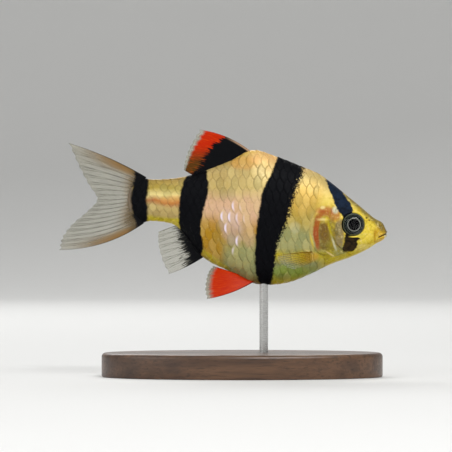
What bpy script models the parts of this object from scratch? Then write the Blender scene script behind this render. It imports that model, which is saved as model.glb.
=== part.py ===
"""Tiger barb, life size, as a still museum model held on a plain display stand.

The frame is in metres with +Z up. Its origin is the middle of the stand's underside, +X runs towards
the snout and -Y is the side that the fish shows, its right flank. The fish swims level with its snout
a few degrees down. Its sizes are written in millimetres, as a fish is measured: how far a place is
behind the tip of the snout, and how high it is above the lowest point of the belly.
"""

import math
from typing import NamedTuple

import bmesh
import bpy
from mathutils import Matrix, Vector

MM = 0.001

# The whole fish
BODY_LENGTH = 46.9  # tip of the snout to the root of the tail fin
SNOUT_X = 26.7  # from the middle of the stand forward to the tip of the snout
BELLY_Z = 17.0  # from the table up to the lowest point of the belly
CUT = 0.3  # width of the gaps that divide the body
SMOOTH_BELOW = 40.0  # degrees between faces that are shaded as one
BODY_STATIONS = 38
BODY_SIDES = 24
STATION_CROWDING = 1.6  # stations crowd towards the snout by this power
PAST_FISH = 40.0  # how far helpers reach past the fish

# The outline as (behind the snout, above the belly)
BACK = (
    (0.0, 9.6), (0.46, 10.8), (1.2, 11.55), (3.05, 13.0), (6.75, 16.1), (10.45, 19.1),
    (12.3, 20.5), (16.0, 22.1), (20.6, 23.9), (24.9, 25.0), (28.95, 23.05), (34.5, 20.9),
    (38.2, 19.95), (42.8, 19.55), (46.9, 19.8),
)
BELLY = (
    (0.0, 9.6), (0.37, 8.5), (1.2, 7.8), (3.05, 6.8), (6.75, 5.1), (10.45, 3.75),
    (14.15, 1.95), (17.85, 0.5), (21.55, 0.0), (25.25, 0.45), (28.95, 2.45), (33.95, 5.1),
    (38.6, 10.6), (40.4, 11.45), (43.75, 11.8), (46.9, 11.5),
)
WIDEST_LEVEL = (
    (0.0, 9.6), (2.0, 9.9), (6.0, 10.6), (10.0, 10.9), (14.0, 11.2), (20.0, 11.8),
    (26.0, 12.3), (32.0, 12.9), (36.0, 13.9), (40.0, 15.3), (46.9, 15.7),
)
HALF_WIDTH = (
    (0.0, 0.0), (0.46, 1.0), (2.1, 1.9), (4.0, 2.6), (6.3, 3.15), (8.6, 3.6), (11.0, 3.98),
    (14.0, 4.25), (20.0, 4.45), (26.0, 4.2), (30.0, 3.7), (34.0, 3.05), (38.0, 2.35),
    (42.0, 1.75), (46.9, 0.8),
)
BACK_NARROWING = ((0.0, 0.8), (6.0, 0.75), (12.0, 0.95), (22.0, 1.2), (46.9, 1.0))
BELLY_NARROWING = ((0.0, 0.9), (8.0, 0.85), (20.0, 0.9), (46.9, 1.0))

# Where the head ends, as an arc through the nape, the shoulder and the throat
NAPE, SHOULDER, THROAT = (11.4, 21.5), (12.9, 9.5), (10.0, 1.5)
NECK_STEPS = 10
TAIL_STEM_START = 38.6

EYE_CENTRE = (6.25, 11.17)
EYE_RADIUS = 2.15
EYE_HALF_THICKNESS = 1.3
EYE_OUT = 2.3  # of the middle of each eye, out from the mid plane
EYE_FLATNESS = 3.0  # 2 is an ellipsoid's dome, and more is flatter
EYE_TURN = 9.0  # degrees that each eye looks forward of straight out
SOCKET_GAP = 0.25
EYE_SIDES, EYE_RINGS = 22, 12

GILL_CENTRE = (11.6, 9.85)
GILL_HALF_LENGTH, GILL_HALF_HEIGHT = 2.75, 4.35
GILL_INNER_Y = 2.55  # the flat back of each gill cover
GILL_STEPS = 26

MOUTH_TIP, MOUTH_CORNER = (-0.6, 9.5), (1.6, 8.8)
JAW_HINGE, JAW_FOOT = (3.4, 7.9), (4.3, 5.0)


class Fin(NamedTuple):
    """Roots and tips, from the first ray to the last, are (behind the snout, above the belly, out
    from the mid plane). Bows lift the first and last rays off straight lines, outwards."""

    roots: tuple
    tips: tuple
    rays: int
    first_bow: float
    last_bow: float
    finish: str


SINGLE_FINS = {
    "dorsal_fin": Fin(
        roots=((24.9, 24.95, 0.0), (30.0, 22.7, 0.0), (35.05, 20.75, 0.0)),
        tips=(
            (34.5, 28.7, 0.0), (35.9, 26.4, 0.0), (36.9, 24.2, 0.0), (37.4, 22.3, 0.0),
            (37.5, 21.3, 0.0),
        ),
        rays=10,
        first_bow=0.8,
        last_bow=0.1,
        finish="dorsal",
    ),
    "anal_fin": Fin(
        roots=((33.95, 5.15, 0.0), (36.3, 7.9, 0.0), (38.55, 10.6, 0.0)),
        tips=(
            (40.25, 2.05, 0.0), (41.35, 4.25, 0.0), (42.0, 6.5, 0.0), (42.25, 8.3, 0.0),
            (42.2, 9.8, 0.0),
        ),
        rays=8,
        first_bow=0.3,
        last_bow=0.1,
        finish="clear_fin",
    ),
    "caudal_fin": Fin(
        roots=(
            (45.4, 19.85, 0.0), (46.7, 17.9, 0.0), (47.2, 15.7, 0.0), (46.8, 13.5, 0.0),
            (45.8, 11.55, 0.0),
        ),
        tips=(
            (58.75, 26.2, 0.0), (57.1, 22.4, 0.0), (55.2, 18.7, 0.0), (53.55, 15.9, 0.0),
            (55.4, 13.6, 0.0), (58.2, 11.2, 0.0), (60.05, 8.7, 0.0), (60.5, 6.5, 0.0),
        ),
        rays=19,
        first_bow=0.5,
        last_bow=1.3,
        finish="clear_fin",
    ),
}
PAIRED_FINS = {
    "pelvic_fin": Fin(
        roots=((25.1, 0.35, 1.55), (26.1, 0.95, 1.15)),
        tips=(
            (33.2, -2.5, 4.1), (33.5, -0.75, 3.9), (33.3, 1.1, 3.6), (32.85, 2.5, 3.3),
            (32.1, 3.45, 3.0),
        ),
        rays=9,
        first_bow=0.55,
        last_bow=0.2,
        finish="red_fin",
    ),
    "pectoral_fin": Fin(
        roots=((13.2, 6.25, 3.25), (13.7, 4.9, 2.85)),
        tips=(
            (20.25, 5.5, 6.9), (20.2, 4.8, 6.75), (19.5, 4.0, 6.4), (18.5, 3.35, 5.95),
            (17.3, 2.95, 5.4),
        ),
        rays=9,
        first_bow=0.15,
        last_bow=0.2,
        finish="clear_fin",
    ),
}
FIN_ROWS = 5
RAY_HALF_THICKNESS, WEB_HALF_THICKNESS = 0.32, 0.25
ROOT_DEPTH = 0.9  # how far each fin starts inside the body, before the body is cut away from it
SCALLOP = 0.02  # the web's edge falls short of the ray tips by this share

# The stand
BASE_LENGTH, BASE_WIDTH, BASE_HEIGHT = 52.0, 28.0, 4.5
BASE_EDGE = 0.8
BASE_SIDES = 56
ROD_RADIUS = 0.8
ROD_X = 4.0
ROD_BOTTOM_Z, ROD_TOP_Z = 1.6, 21.0
ROD_SIDES = 24
BASE_HOLE_CLEARANCE, BODY_HOLE_CLEARANCE = 0.1, 0.2
HOLE_END_GAP = 0.3
HOLE_RUN_OUT = 3.0  # how far a helper that cuts a hole comes out of its mouth

# Each finish as (colour, roughness, metallic, alpha)
FINISHES = {
    "skin": ((0.72, 0.55, 0.24), 0.35, 0.2, 1.0),
    "gill": ((0.55, 0.38, 0.15), 0.30, 0.3, 1.0),
    "eye": ((0.02, 0.03, 0.03), 0.05, 0.0, 1.0),
    "dorsal": ((0.25, 0.05, 0.02), 0.45, 0.0, 1.0),
    "red_fin": ((0.65, 0.09, 0.01), 0.45, 0.0, 1.0),
    "clear_fin": ((0.42, 0.38, 0.30), 0.40, 0.0, 0.6),
    "wood": ((0.10, 0.05, 0.025), 0.45, 0.0, 1.0),
    "steel": ((0.60, 0.60, 0.58), 0.25, 1.0, 1.0),
}


def curve(points, at, column=1):
    """The smooth curve through (position, value) points at a position, by cubic Hermite pieces."""
    xs = [p[0] for p in points]
    ys = [p[column] for p in points]
    at = min(max(at, xs[0]), xs[-1])
    slopes = []
    for i in range(len(xs)):
        low, high = max(i - 1, 0), min(i + 1, len(xs) - 1)
        slopes.append((ys[high] - ys[low]) / (xs[high] - xs[low]))
    i = max(k for k in range(len(xs) - 1) if xs[k] <= at)
    span = xs[i + 1] - xs[i]
    t = (at - xs[i]) / span
    rest = 1 - t
    return (
        ys[i] * (1 + 2 * t) * rest**2
        + ys[i + 1] * (3 - 2 * t) * t**2
        + span * (slopes[i] * t * rest**2 - slopes[i + 1] * rest * t**2)
    )


def body_curve(points, behind):
    """A size of the body so far behind the snout. Roots of the distances make the snout's tip round."""
    rooted = [(math.sqrt(p[0]), p[1]) for p in points]
    return curve(rooted, math.sqrt(behind))


def along(points, share):
    """The place at a share, from 0 to 1, of a smooth line through evenly counted points."""
    last = len(points) - 1
    numbered = [(i / last, *p) for i, p in enumerate(points)]
    return Vector(curve(numbered, share, column) for column in (1, 2, 3))


def placed(behind, above, out=0.0):
    """A place on the fish, in millimetres, as a point of the frame. Out is towards the left flank."""
    return Vector((SNOUT_X - behind, out, BELLY_Z + above)) * MM


def new_object(name, mesh, finish=None):
    obj = bpy.data.objects.new(name, mesh)
    bpy.context.scene.collection.objects.link(obj)
    if finish:
        mesh.materials.clear()
        mesh.materials.append(bpy.data.materials[finish])
    return obj


def as_helper(obj):
    """A helper shapes other pieces and isn't one itself."""
    obj.hide_render = True
    obj.display_type = "WIRE"
    return obj


def boolean(obj, operation, other):
    modifier = obj.modifiers.new(f"{operation.lower()} {other.name}", "BOOLEAN")
    modifier.operation = operation
    modifier.solver = "EXACT"
    modifier.object = other


def finished_mesh(name, shape):
    """The mesh of a closed shape, its faces turned outwards and shaded smooth."""
    bmesh.ops.recalc_face_normals(shape, faces=shape.faces[:])
    if shape.calc_volume(signed=True) < 0:
        bmesh.ops.reverse_faces(shape, faces=shape.faces[:])
    mesh = bpy.data.meshes.new(name)
    shape.to_mesh(mesh)
    shape.free()
    mesh.shade_smooth()
    mesh.set_sharp_from_angle(angle=math.radians(SMOOTH_BELOW))
    return mesh


def mesh_from(name, points, faces):
    shape = bmesh.new()
    corners = [shape.verts.new(p) for p in points]
    for face in faces:
        shape.faces.new([corners[i] for i in face])
    bmesh.ops.triangulate(shape, faces=shape.faces[:])
    return finished_mesh(name, shape)


def prism(name, outline, out_from, out_to):
    """A helper: an outline of (behind, above) places, extruded across the fish."""
    count = len(outline)
    points = [placed(*p, out) for out in (out_from, out_to) for p in outline]
    faces = [(i, (i + 1) % count, count + (i + 1) % count, count + i) for i in range(count)]
    faces += [range(count), range(count, 2 * count)]
    return as_helper(new_object(name, mesh_from(name, points, faces)))


def upright_cylinder(name, radius, bottom, top, finish=None):
    shape = bmesh.new()
    bmesh.ops.create_cone(
        shape,
        cap_ends=True,
        segments=ROD_SIDES,
        radius1=radius * MM,
        radius2=radius * MM,
        depth=(top - bottom) * MM,
    )
    bmesh.ops.translate(shape, verts=shape.verts, vec=Vector((ROD_X, 0.0, (top + bottom) / 2)) * MM)
    return new_object(name, finished_mesh(name, shape), finish)


def body_point(behind, angle, grow):
    """A point of the body's left surface: the angle runs from -90 degrees, the belly, to 90, the back."""
    level = body_curve(WIDEST_LEVEL, behind)
    if angle >= 0:
        height = body_curve(BACK, behind) - level
        narrowing = curve(BACK_NARROWING, behind)
    else:
        height = level - body_curve(BELLY, behind)
        narrowing = curve(BELLY_NARROWING, behind)
    share = max(math.cos(angle), 0.0)
    out = body_curve(HALF_WIDTH, behind) * share**narrowing + grow * share
    return placed(behind, level + (height + grow) * math.sin(angle), out)


def body_mesh(name, grow=0.0):
    """The whole body from the snout to the root of the tail fin, as rings round the X direction."""
    half = BODY_SIDES // 2
    angles = [math.pi * (i / half - 0.5) for i in range(half + 1)]
    points = [placed(-grow, body_curve(BACK, 0.0))]
    for station in range(1, BODY_STATIONS + 1):
        behind = BODY_LENGTH * (station / BODY_STATIONS) ** STATION_CROWDING
        ring = [body_point(behind, angle, grow) for angle in angles]
        points += ring
        points += [Vector((p.x, -p.y, p.z)) for p in reversed(ring[1:-1])]
    sides = [(i, (i + 1) % BODY_SIDES) for i in range(BODY_SIDES)]
    faces = [(0, 1 + a, 1 + b) for a, b in sides]
    for station in range(1, BODY_STATIONS):
        rear = 1 + station * BODY_SIDES
        front = rear - BODY_SIDES
        faces += [(front + a, rear + a, rear + b, front + b) for a, b in sides]
    faces.append(range(len(points) - BODY_SIDES, len(points)))
    return mesh_from(name, points, faces)


def arc_through(first, middle, last, steps):
    """Points along the circle's arc through three places."""
    (ax, ay), (bx, by), (cx, cy) = first, middle, last
    a, b, c = ax**2 + ay**2, bx**2 + by**2, cx**2 + cy**2
    scale = 2 * (ax * (by - cy) + bx * (cy - ay) + cx * (ay - by))
    x = (a * (by - cy) + b * (cy - ay) + c * (ay - by)) / scale
    y = (a * (cx - bx) + b * (ax - cx) + c * (bx - ax)) / scale
    radius = math.hypot(ax - x, ay - y)
    start, end = math.atan2(ay - y, ax - x), math.atan2(cy - y, cx - x)
    turns = [start + (end - start) * i / steps for i in range(steps + 1)]
    return [(x + radius * math.cos(t), y + radius * math.sin(t)) for t in turns]


def side_of(name, edge, side):
    """A helper holding all that is ahead of an edge line (side -1) or behind it (side 1)."""
    far = BODY_LENGTH * side + PAST_FISH * side
    top, bottom = (edge[0][0], PAST_FISH), (edge[-1][0], -PAST_FISH)
    line = [(x + side * CUT / 2, z) for x, z in (top, *edge, bottom)]
    return prism(name, [*line, (far, -PAST_FISH), (far, PAST_FISH)], -PAST_FISH, PAST_FISH)


def gill_outline(gap):
    length, height = GILL_HALF_LENGTH + gap, GILL_HALF_HEIGHT + gap
    turns = [2 * math.pi * i / GILL_STEPS for i in range(GILL_STEPS)]
    return [(GILL_CENTRE[0] + length * math.cos(t), GILL_CENTRE[1] + height * math.sin(t)) for t in turns]


def jaw_outline(gap):
    """The lower jaw seen from the side: the mouth's slit, the hinge, then round below the chin."""
    slit = [(MOUTH_TIP[0], MOUTH_TIP[1] + gap), (MOUTH_CORNER[0] + gap, MOUTH_CORNER[1] + gap)]
    back = [(JAW_HINGE[0] + gap, JAW_HINGE[1]), (JAW_FOOT[0] + gap, JAW_FOOT[1])]
    return [*slit, *back, (MOUTH_TIP[0], JAW_FOOT[1])]


def flesh(name, body, finish, keep, cutters=()):
    """A piece of the body: what lies in every keep helper, less every cutter."""
    piece = new_object(name, body.copy(), finish)
    for helper in keep:
        boolean(piece, "INTERSECT", helper)
    for helper in cutters:
        boolean(piece, "DIFFERENCE", helper)


def make_flesh(sockets, rod_hole):
    """The head with its jaw and gill covers, the trunk and the stem of the tail."""
    body = body_mesh("body")
    neck = arc_through(NAPE, SHOULDER, THROAT, NECK_STEPS)
    stem = [(TAIL_STEM_START, 0.0)]
    gill_pockets = []
    for side, sign in (("left", 1), ("right", -1)):
        plate = prism(f"gill_shape_{side}", gill_outline(0.0), sign * GILL_INNER_Y, sign * PAST_FISH)
        flesh(f"gill_cover_{side}", body, "gill", [plate])
        floor = sign * (GILL_INNER_Y - CUT)
        gill_pockets.append(prism(f"gill_pocket_{side}", gill_outline(CUT), floor, sign * PAST_FISH))
    jaw = prism("jaw_shape", jaw_outline(-CUT / 2), -PAST_FISH, PAST_FISH)
    jaw_pocket = prism("jaw_pocket", jaw_outline(CUT / 2), -PAST_FISH, PAST_FISH)
    flesh("lower_jaw", body, "skin", [jaw])
    flesh("head", body, "skin", [side_of("head_side", neck, -1)], [*gill_pockets, jaw_pocket, *sockets])
    trunk_sides = [side_of("trunk_front_side", neck, 1), side_of("trunk_rear_side", stem, -1)]
    flesh("trunk", body, "skin", trunk_sides, [*gill_pockets, rod_hole])
    flesh("tail_stem", body, "skin", [side_of("stem_side", stem, 1)])


def eyeball(name, side, gap=0.0, finish=None):
    """A flattened ball in the head's side, -1 for the right one, or with a gap the socket for it."""
    shape = bmesh.new()
    bmesh.ops.create_uvsphere(shape, u_segments=EYE_SIDES, v_segments=EYE_RINGS, radius=1.0)
    turn = Matrix.Rotation(math.radians(-side * EYE_TURN), 3, "Z")
    radius, half_thickness = EYE_RADIUS + gap, EYE_HALF_THICKNESS + gap
    for vertex in shape.verts:
        # The sphere's poles turn to face out of the head, and its dome is flattened
        x, y, z = vertex.co
        dome = math.copysign((1 - min(math.hypot(x, y), 1.0) ** EYE_FLATNESS) ** 0.5, z)
        local = Vector((x * radius, side * dome * half_thickness, y * radius))
        vertex.co = turn @ local * MM + placed(*EYE_CENTRE, side * EYE_OUT)
    return new_object(name, finished_mesh(name, shape), finish)


def make_eyes():
    """Both eyes. The helpers that cut their sockets are returned."""
    sockets = []
    for side, sign in (("left", 1), ("right", -1)):
        eyeball(f"eye_{side}", sign, finish="eye")
        sockets.append(as_helper(eyeball(f"socket_{side}", sign, gap=SOCKET_GAP)))
    return sockets


def fin_points(fin):
    """Columns of places from root to tip, one on each ray and one on the web between two rays."""
    columns = 2 * fin.rays - 1
    edge = (along(fin.roots, 0.0) - along(fin.roots, 1.0)).normalized()
    middle = (along(fin.tips, 0.5) - along(fin.roots, 0.5)).normalized()
    inward = -(middle - edge * middle.dot(edge)).normalized()
    grid = []
    for column in range(columns):
        share = column / (columns - 1)
        root, tip = along(fin.roots, share), along(fin.tips, share)
        on_web = column % 2
        tip = root + (tip - root) * (1 - SCALLOP * on_web)
        run = (tip - root).normalized()
        start = root + inward * ROOT_DEPTH
        sideways = (edge - run * edge.dot(run)).normalized()
        bow = sideways * (fin.first_bow * (1 - share) ** 2 - fin.last_bow * share**2)
        steps = [row / FIN_ROWS for row in range(FIN_ROWS + 1)]
        grid.append([start + (tip - start) * t + bow * (4 * t * (1 - t)) for t in steps])
    return grid


def fin_mesh(name, fin):
    """A closed fin, thicker on its rays than on the web between them."""
    grid = fin_points(fin)
    across = along(fin.tips, 0.5) - along(fin.roots, 0.5)
    edge = along(fin.tips, 0.0) - along(fin.tips, 1.0)
    flat_way = across.cross(edge).normalized()
    rows = FIN_ROWS + 1
    points = []
    for side in (1, -1):
        for column, line in enumerate(grid):
            half = WEB_HALF_THICKNESS if column % 2 else RAY_HALF_THICKNESS
            for row, place in enumerate(line):
                thickness = half + (WEB_HALF_THICKNESS - half) * row / FIN_ROWS
                points.append(placed(*(place + flat_way * (side * thickness))))
    other = len(grid) * rows
    faces = []
    for column in range(len(grid) - 1):
        for row in range(FIN_ROWS):
            a, b = column * rows + row, (column + 1) * rows + row
            faces += [(a, b, b + 1, a + 1), (other + a, other + a + 1, other + b + 1, other + b)]
    rim = [column * rows for column in range(len(grid))]
    rim += [(len(grid) - 1) * rows + row for row in range(1, rows)]
    rim += [column * rows + FIN_ROWS for column in range(len(grid) - 2, -1, -1)]
    rim += range(FIN_ROWS - 1, 0, -1)
    for a, b in zip(rim, rim[1:] + rim[:1]):
        faces.append((a, b, other + b, other + a))
    return mesh_from(name, points, faces)


def mirrored(fin):
    roots, tips = ([(behind, above, -out) for behind, above, out in line] for line in (fin.roots, fin.tips))
    return fin._replace(roots=roots, tips=tips)


def make_fins():
    """All the fins, each cut a little clear of the body that it grows from."""
    fins = dict(SINGLE_FINS)
    for name, fin in PAIRED_FINS.items():
        fins[f"{name}_left"] = fin
        fins[f"{name}_right"] = mirrored(fin)
    body_with_gap = as_helper(new_object("body_with_gap", body_mesh("body_with_gap", grow=CUT)))
    for name, fin in fins.items():
        boolean(new_object(name, fin_mesh(name, fin), fin.finish), "DIFFERENCE", body_with_gap)


def make_base(hole):
    """The oval base, its top edge rounded."""
    shape = bmesh.new()
    bmesh.ops.create_cone(
        shape,
        cap_ends=True,
        segments=BASE_SIDES,
        radius1=BASE_LENGTH / 2 * MM,
        radius2=BASE_LENGTH / 2 * MM,
        depth=BASE_HEIGHT * MM,
    )
    for vertex in shape.verts:
        vertex.co.y *= BASE_WIDTH / BASE_LENGTH
        vertex.co.z += BASE_HEIGHT / 2 * MM
    base = new_object("stand_base", finished_mesh("stand_base", shape), "wood")
    rounding = base.modifiers.new("rounded edges", "BEVEL")
    rounding.width = BASE_EDGE * MM
    rounding.segments = 2
    rounding.limit_method = "ANGLE"
    rounding.angle_limit = math.radians(50)
    boolean(base, "DIFFERENCE", hole)


def make_stand():
    """The base and the rod that stands in it. The helper that cuts a hole in the belly is returned."""
    radius, floor = ROD_RADIUS + BASE_HOLE_CLEARANCE, ROD_BOTTOM_Z - HOLE_END_GAP
    make_base(as_helper(upright_cylinder("base_hole", radius, floor, BASE_HEIGHT + HOLE_RUN_OUT)))
    upright_cylinder("stand_rod", ROD_RADIUS, ROD_BOTTOM_Z, ROD_TOP_Z, "steel")
    radius, roof = ROD_RADIUS + BODY_HOLE_CLEARANCE, ROD_TOP_Z + HOLE_END_GAP
    return as_helper(upright_cylinder("body_hole", radius, BELLY_Z - HOLE_RUN_OUT, roof))


def make_finishes():
    for name, (colour, roughness, metallic, alpha) in FINISHES.items():
        finish = bpy.data.materials.new(name)
        finish.use_nodes = True
        shader = finish.node_tree.nodes["Principled BSDF"]
        shader.inputs["Base Color"].default_value = (*colour, 1.0)
        shader.inputs["Roughness"].default_value = roughness
        shader.inputs["Metallic"].default_value = metallic
        shader.inputs["Alpha"].default_value = alpha


def main():
    for obj in list(bpy.data.objects):
        bpy.data.objects.remove(obj)
    make_finishes()
    make_flesh(sockets=make_eyes(), rod_hole=make_stand())
    make_fins()


main()
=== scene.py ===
"""The looks of the tiger barb: skin, scales, eyes and fins over the CAD solids, its stand and the studio.

A place on the fish is written in millimetres, as in the CAD source: (behind the tip of the snout, above
the lowest point of the belly, out from the mid plane). The fish shows its right flank. Its shape is
worked out here by the same curves as the CAD, and a mesh's points become metres of the row frame.
"""

import math
from functools import partialmethod
from typing import NamedTuple

import bpy
import numpy as np
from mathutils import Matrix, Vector


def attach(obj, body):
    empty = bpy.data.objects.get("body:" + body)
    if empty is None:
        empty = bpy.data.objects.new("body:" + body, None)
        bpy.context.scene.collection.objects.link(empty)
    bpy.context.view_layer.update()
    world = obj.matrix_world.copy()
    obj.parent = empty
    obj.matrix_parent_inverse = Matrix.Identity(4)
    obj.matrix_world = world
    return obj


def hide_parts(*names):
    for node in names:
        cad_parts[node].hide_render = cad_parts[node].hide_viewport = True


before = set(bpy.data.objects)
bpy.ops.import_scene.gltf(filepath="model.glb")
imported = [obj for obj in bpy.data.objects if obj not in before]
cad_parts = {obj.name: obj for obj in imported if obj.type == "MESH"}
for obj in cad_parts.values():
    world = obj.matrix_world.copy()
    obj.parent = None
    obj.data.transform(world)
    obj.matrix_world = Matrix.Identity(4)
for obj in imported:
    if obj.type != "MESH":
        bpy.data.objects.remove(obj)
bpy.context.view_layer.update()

chance = np.random.default_rng(7)

MM = 0.001
BODY = "root"
SIDES = (("left", 1), ("right", -1))  # the left side, and its mirror image on the right

# The whole fish, as in the CAD source
SNOUT_X = 26.7
BELLY_Z = 17.0
BACK = (
    (0.0, 9.6), (0.46, 10.8), (1.2, 11.55), (3.05, 13.0), (6.75, 16.1), (10.45, 19.1),
    (12.3, 20.5), (16.0, 22.1), (20.6, 23.9), (24.9, 25.0), (28.95, 23.05), (34.5, 20.9),
    (38.2, 19.95), (42.8, 19.55), (46.9, 19.8),
)
BELLY = (
    (0.0, 9.6), (0.37, 8.5), (1.2, 7.8), (3.05, 6.8), (6.75, 5.1), (10.45, 3.75),
    (14.15, 1.95), (17.85, 0.5), (21.55, 0.0), (25.25, 0.45), (28.95, 2.45), (33.95, 5.1),
    (38.6, 10.6), (40.4, 11.45), (43.75, 11.8), (46.9, 11.5),
)
WIDEST_LEVEL = (
    (0.0, 9.6), (2.0, 9.9), (6.0, 10.6), (10.0, 10.9), (14.0, 11.2), (20.0, 11.8),
    (26.0, 12.3), (32.0, 12.9), (36.0, 13.9), (40.0, 15.3), (46.9, 15.7),
)
HALF_WIDTH = (
    (0.0, 0.0), (0.46, 1.0), (2.1, 1.9), (4.0, 2.6), (6.3, 3.15), (8.6, 3.6), (11.0, 3.98),
    (14.0, 4.25), (20.0, 4.45), (26.0, 4.2), (30.0, 3.7), (34.0, 3.05), (38.0, 2.35),
    (42.0, 1.75), (46.9, 0.8),
)
BACK_NARROWING = ((0.0, 0.8), (6.0, 0.75), (12.0, 0.95), (22.0, 1.2), (46.9, 1.0))
BELLY_NARROWING = ((0.0, 0.9), (8.0, 0.85), (20.0, 0.9), (46.9, 1.0))
FLESH = ("head", "lower_jaw", "gill_cover_left", "gill_cover_right", "trunk", "tail_stem")

# The skin
TAIL_END = 47.9  # the skin runs this far onto the rays of the tail fin
TAIL_MIDDLE, TAIL_HALF_HEIGHT = 15.65, 4.1
TAIL_THINS_FROM, TAIL_THINNING = 45.6, 0.75
TAIL_ROUNDS_FROM = 42.5
TAIL_ROUNDING = 2.0  # the skin's rear edge starts this much further forward at its ends
SKIN_STATIONS, SKIN_SIDES = 290, 340
SKIN_CROWDING = 1.35  # above 1, the stations crowd towards the snout
HEAD_DEPTH, COAT_DEPTH = 0.02, 0.20  # how deep the skin lies in the solids, on the head and under scales
NAPE, SHOULDER, THROAT = (11.4, 21.5), (12.9, 9.5), (10.0, 1.5)

EYE_CENTRE = (6.25, 11.17)
EYE_RADIUS = 2.15
EYE_HALF_THICKNESS = 1.3
EYE_OUT = 2.3
EYE_FLATNESS = 3.0  # 2 is a dome like half a ball, and more is flatter
EYE_TURN = 9.0  # degrees forwards
EYE_SIDES = 96
PUPIL_RADIUS = 1.1
CORNEA_RADIUS, CORNEA_BULGE, CORNEA_THICKNESS = 2.04, 0.14, 0.03
CORNEA_GAP = 0.012

GILL_CENTRE = (11.6, 9.85)
GILL_HALF_LENGTH, GILL_HALF_HEIGHT = 2.75, 4.35
PREOPERCLE = ((6.6, 5.6), (8.0, 6.5), (9.2, 7.6), (9.9, 9.1), (10.2, 10.9), (10.1, 12.8), (9.5, 14.4))
MAXILLA = ((1.85, 10.05), (2.3, 9.2), (2.35, 8.2))
MOUTH_LEVEL, MOUTH_SLOPE = 9.47, -0.46  # the line between the lips
# Swellings and hollows of the head, each as (its place, how high, how wide)
SWELLINGS = (((0.9, 11.5), 0.28, 0.9), ((1.6, 7.4), -0.22, 1.3), ((7.6, 7.7), 0.10, 1.3))
NOSTRILS = ((3.25, 11.95, 0.15), (3.75, 12.4, 0.2))  # with their radii

# The scales
SCALE_LENGTH = 3.0
SCALE_SPACING = 1.38  # between the rear edges of scales in one row
ROW_HEIGHT = (
    (8.0, 1.8), (14.0, 2.1), (22.0, 2.25), (28.0, 2.15), (34.0, 1.75), (40.0, 1.32), (47.9, 1.2),
)
SCALE_WIDTH = 1.12  # a scale's half height over the height of its row
SCALE_SAG = 1.38  # how far a scale's free edge curves forwards at its ends
SCALE_LIFT = 0.040  # rise per length from a scale's front to its free edge
SCALE_CROWN = 0.025
SCALE_THICKNESS = 0.04
SCALE_GAP = 0.01  # between the skin and a scale's front
SCALE_ROWS = 12  # on each side of the widest line, at most
SCALE_ACROSS, SCALE_ALONG = 13, 8
FIRST_SCALE, LAST_SCALE = 10.2, 47.7
SCALE_START = 0.3  # between the head's edge and the first scales
RIDGE_PASSING = 0.35  # how far rows run past the ridges, as a share of their height
RIDGE_OVERLAP = 0.25  # how far scales reach over the ridges
RIDGE_LIFT = 0.04  # how far the ridges' own scales lie over the flanks' scales
UV_PATCH = 0.003  # the size of a scale's patch of the OFBake map
UV_LENGTH, UV_GIRTH = 52.0, 68.0  # what the map's two sides stand for


class Fin(NamedTuple):
    """A fin by places (behind, above, out) along its root and its tips, from its first ray to its last."""

    roots: tuple
    tips: tuple
    rays: int
    first_bow: float
    last_bow: float
    finish: str


FINS = {
    "dorsal_fin": Fin(
        ((24.9, 24.95, 0.0), (30.0, 22.7, 0.0), (35.05, 20.75, 0.0)),
        (
            (34.5, 28.7, 0.0), (35.9, 26.4, 0.0), (36.9, 24.2, 0.0), (37.4, 22.3, 0.0),
            (37.5, 21.3, 0.0),
        ),
        10, 0.8, 0.1, "dorsal",
    ),
    "anal_fin": Fin(
        ((33.95, 5.15, 0.0), (36.3, 7.9, 0.0), (38.55, 10.6, 0.0)),
        (
            (40.25, 2.05, 0.0), (41.35, 4.25, 0.0), (42.0, 6.5, 0.0), (42.25, 8.3, 0.0),
            (42.2, 9.8, 0.0),
        ),
        8, 0.3, 0.1, "anal",
    ),
    "caudal_fin": Fin(
        (
            (45.4, 19.85, 0.0), (46.7, 17.9, 0.0), (47.2, 15.7, 0.0), (46.8, 13.5, 0.0),
            (45.8, 11.55, 0.0),
        ),
        (
            (58.75, 26.2, 0.0), (57.1, 22.4, 0.0), (55.2, 18.7, 0.0), (53.55, 15.9, 0.0),
            (55.4, 13.6, 0.0), (58.2, 11.2, 0.0), (60.05, 8.7, 0.0), (60.5, 6.5, 0.0),
        ),
        19, 0.5, 1.3, "caudal",
    ),
    "pelvic_fin": Fin(
        ((25.1, 0.35, 1.55), (26.1, 0.95, 1.15)),
        (
            (33.2, -2.5, 4.1), (33.5, -0.75, 3.9), (33.3, 1.1, 3.6), (32.85, 2.5, 3.3),
            (32.1, 3.45, 3.0),
        ),
        9, 0.55, 0.2, "pelvic",
    ),
    "pectoral_fin": Fin(
        ((13.2, 6.25, 3.25), (13.7, 4.9, 2.85)),
        (
            (20.25, 5.5, 6.9), (20.2, 4.8, 6.75), (19.5, 4.0, 6.4), (18.5, 3.35, 5.95),
            (17.3, 2.95, 5.4),
        ),
        9, 0.15, 0.2, "pectoral",
    ),
}
PAIRED = ("pelvic_fin", "pectoral_fin")
ROOT_DEPTH = 0.9
WEB_HALF_THICKNESS, WEB_ROOT_HALF_THICKNESS = 0.025, 0.12
WEB_COLUMNS_PER_RAY, WEB_ROWS = 8, 40
WEB_SCALLOP = 0.02
RAY_RADIUS, RAY_TIP_RADIUS = 0.10, 0.025
FIRST_RAY_RADIUS = 0.16
RAY_JOINT_SPACING, ROWS_PER_JOINT = 0.42, 4
JOINT_GROOVE, JOINT_WIDTH = 0.16, 0.14  # as shares of a ray's radius and of the joints' spacing
RAY_SIDES = 6
RAY_FLATNESS = 0.75
RAY_END = 1.005  # a little past the web
BRANCH_AT = (0.42, 0.70)
BRANCH_SPREAD = (0.20, 0.10)  # of the space between two rays
BRANCH_SIZE = 0.8

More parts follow.
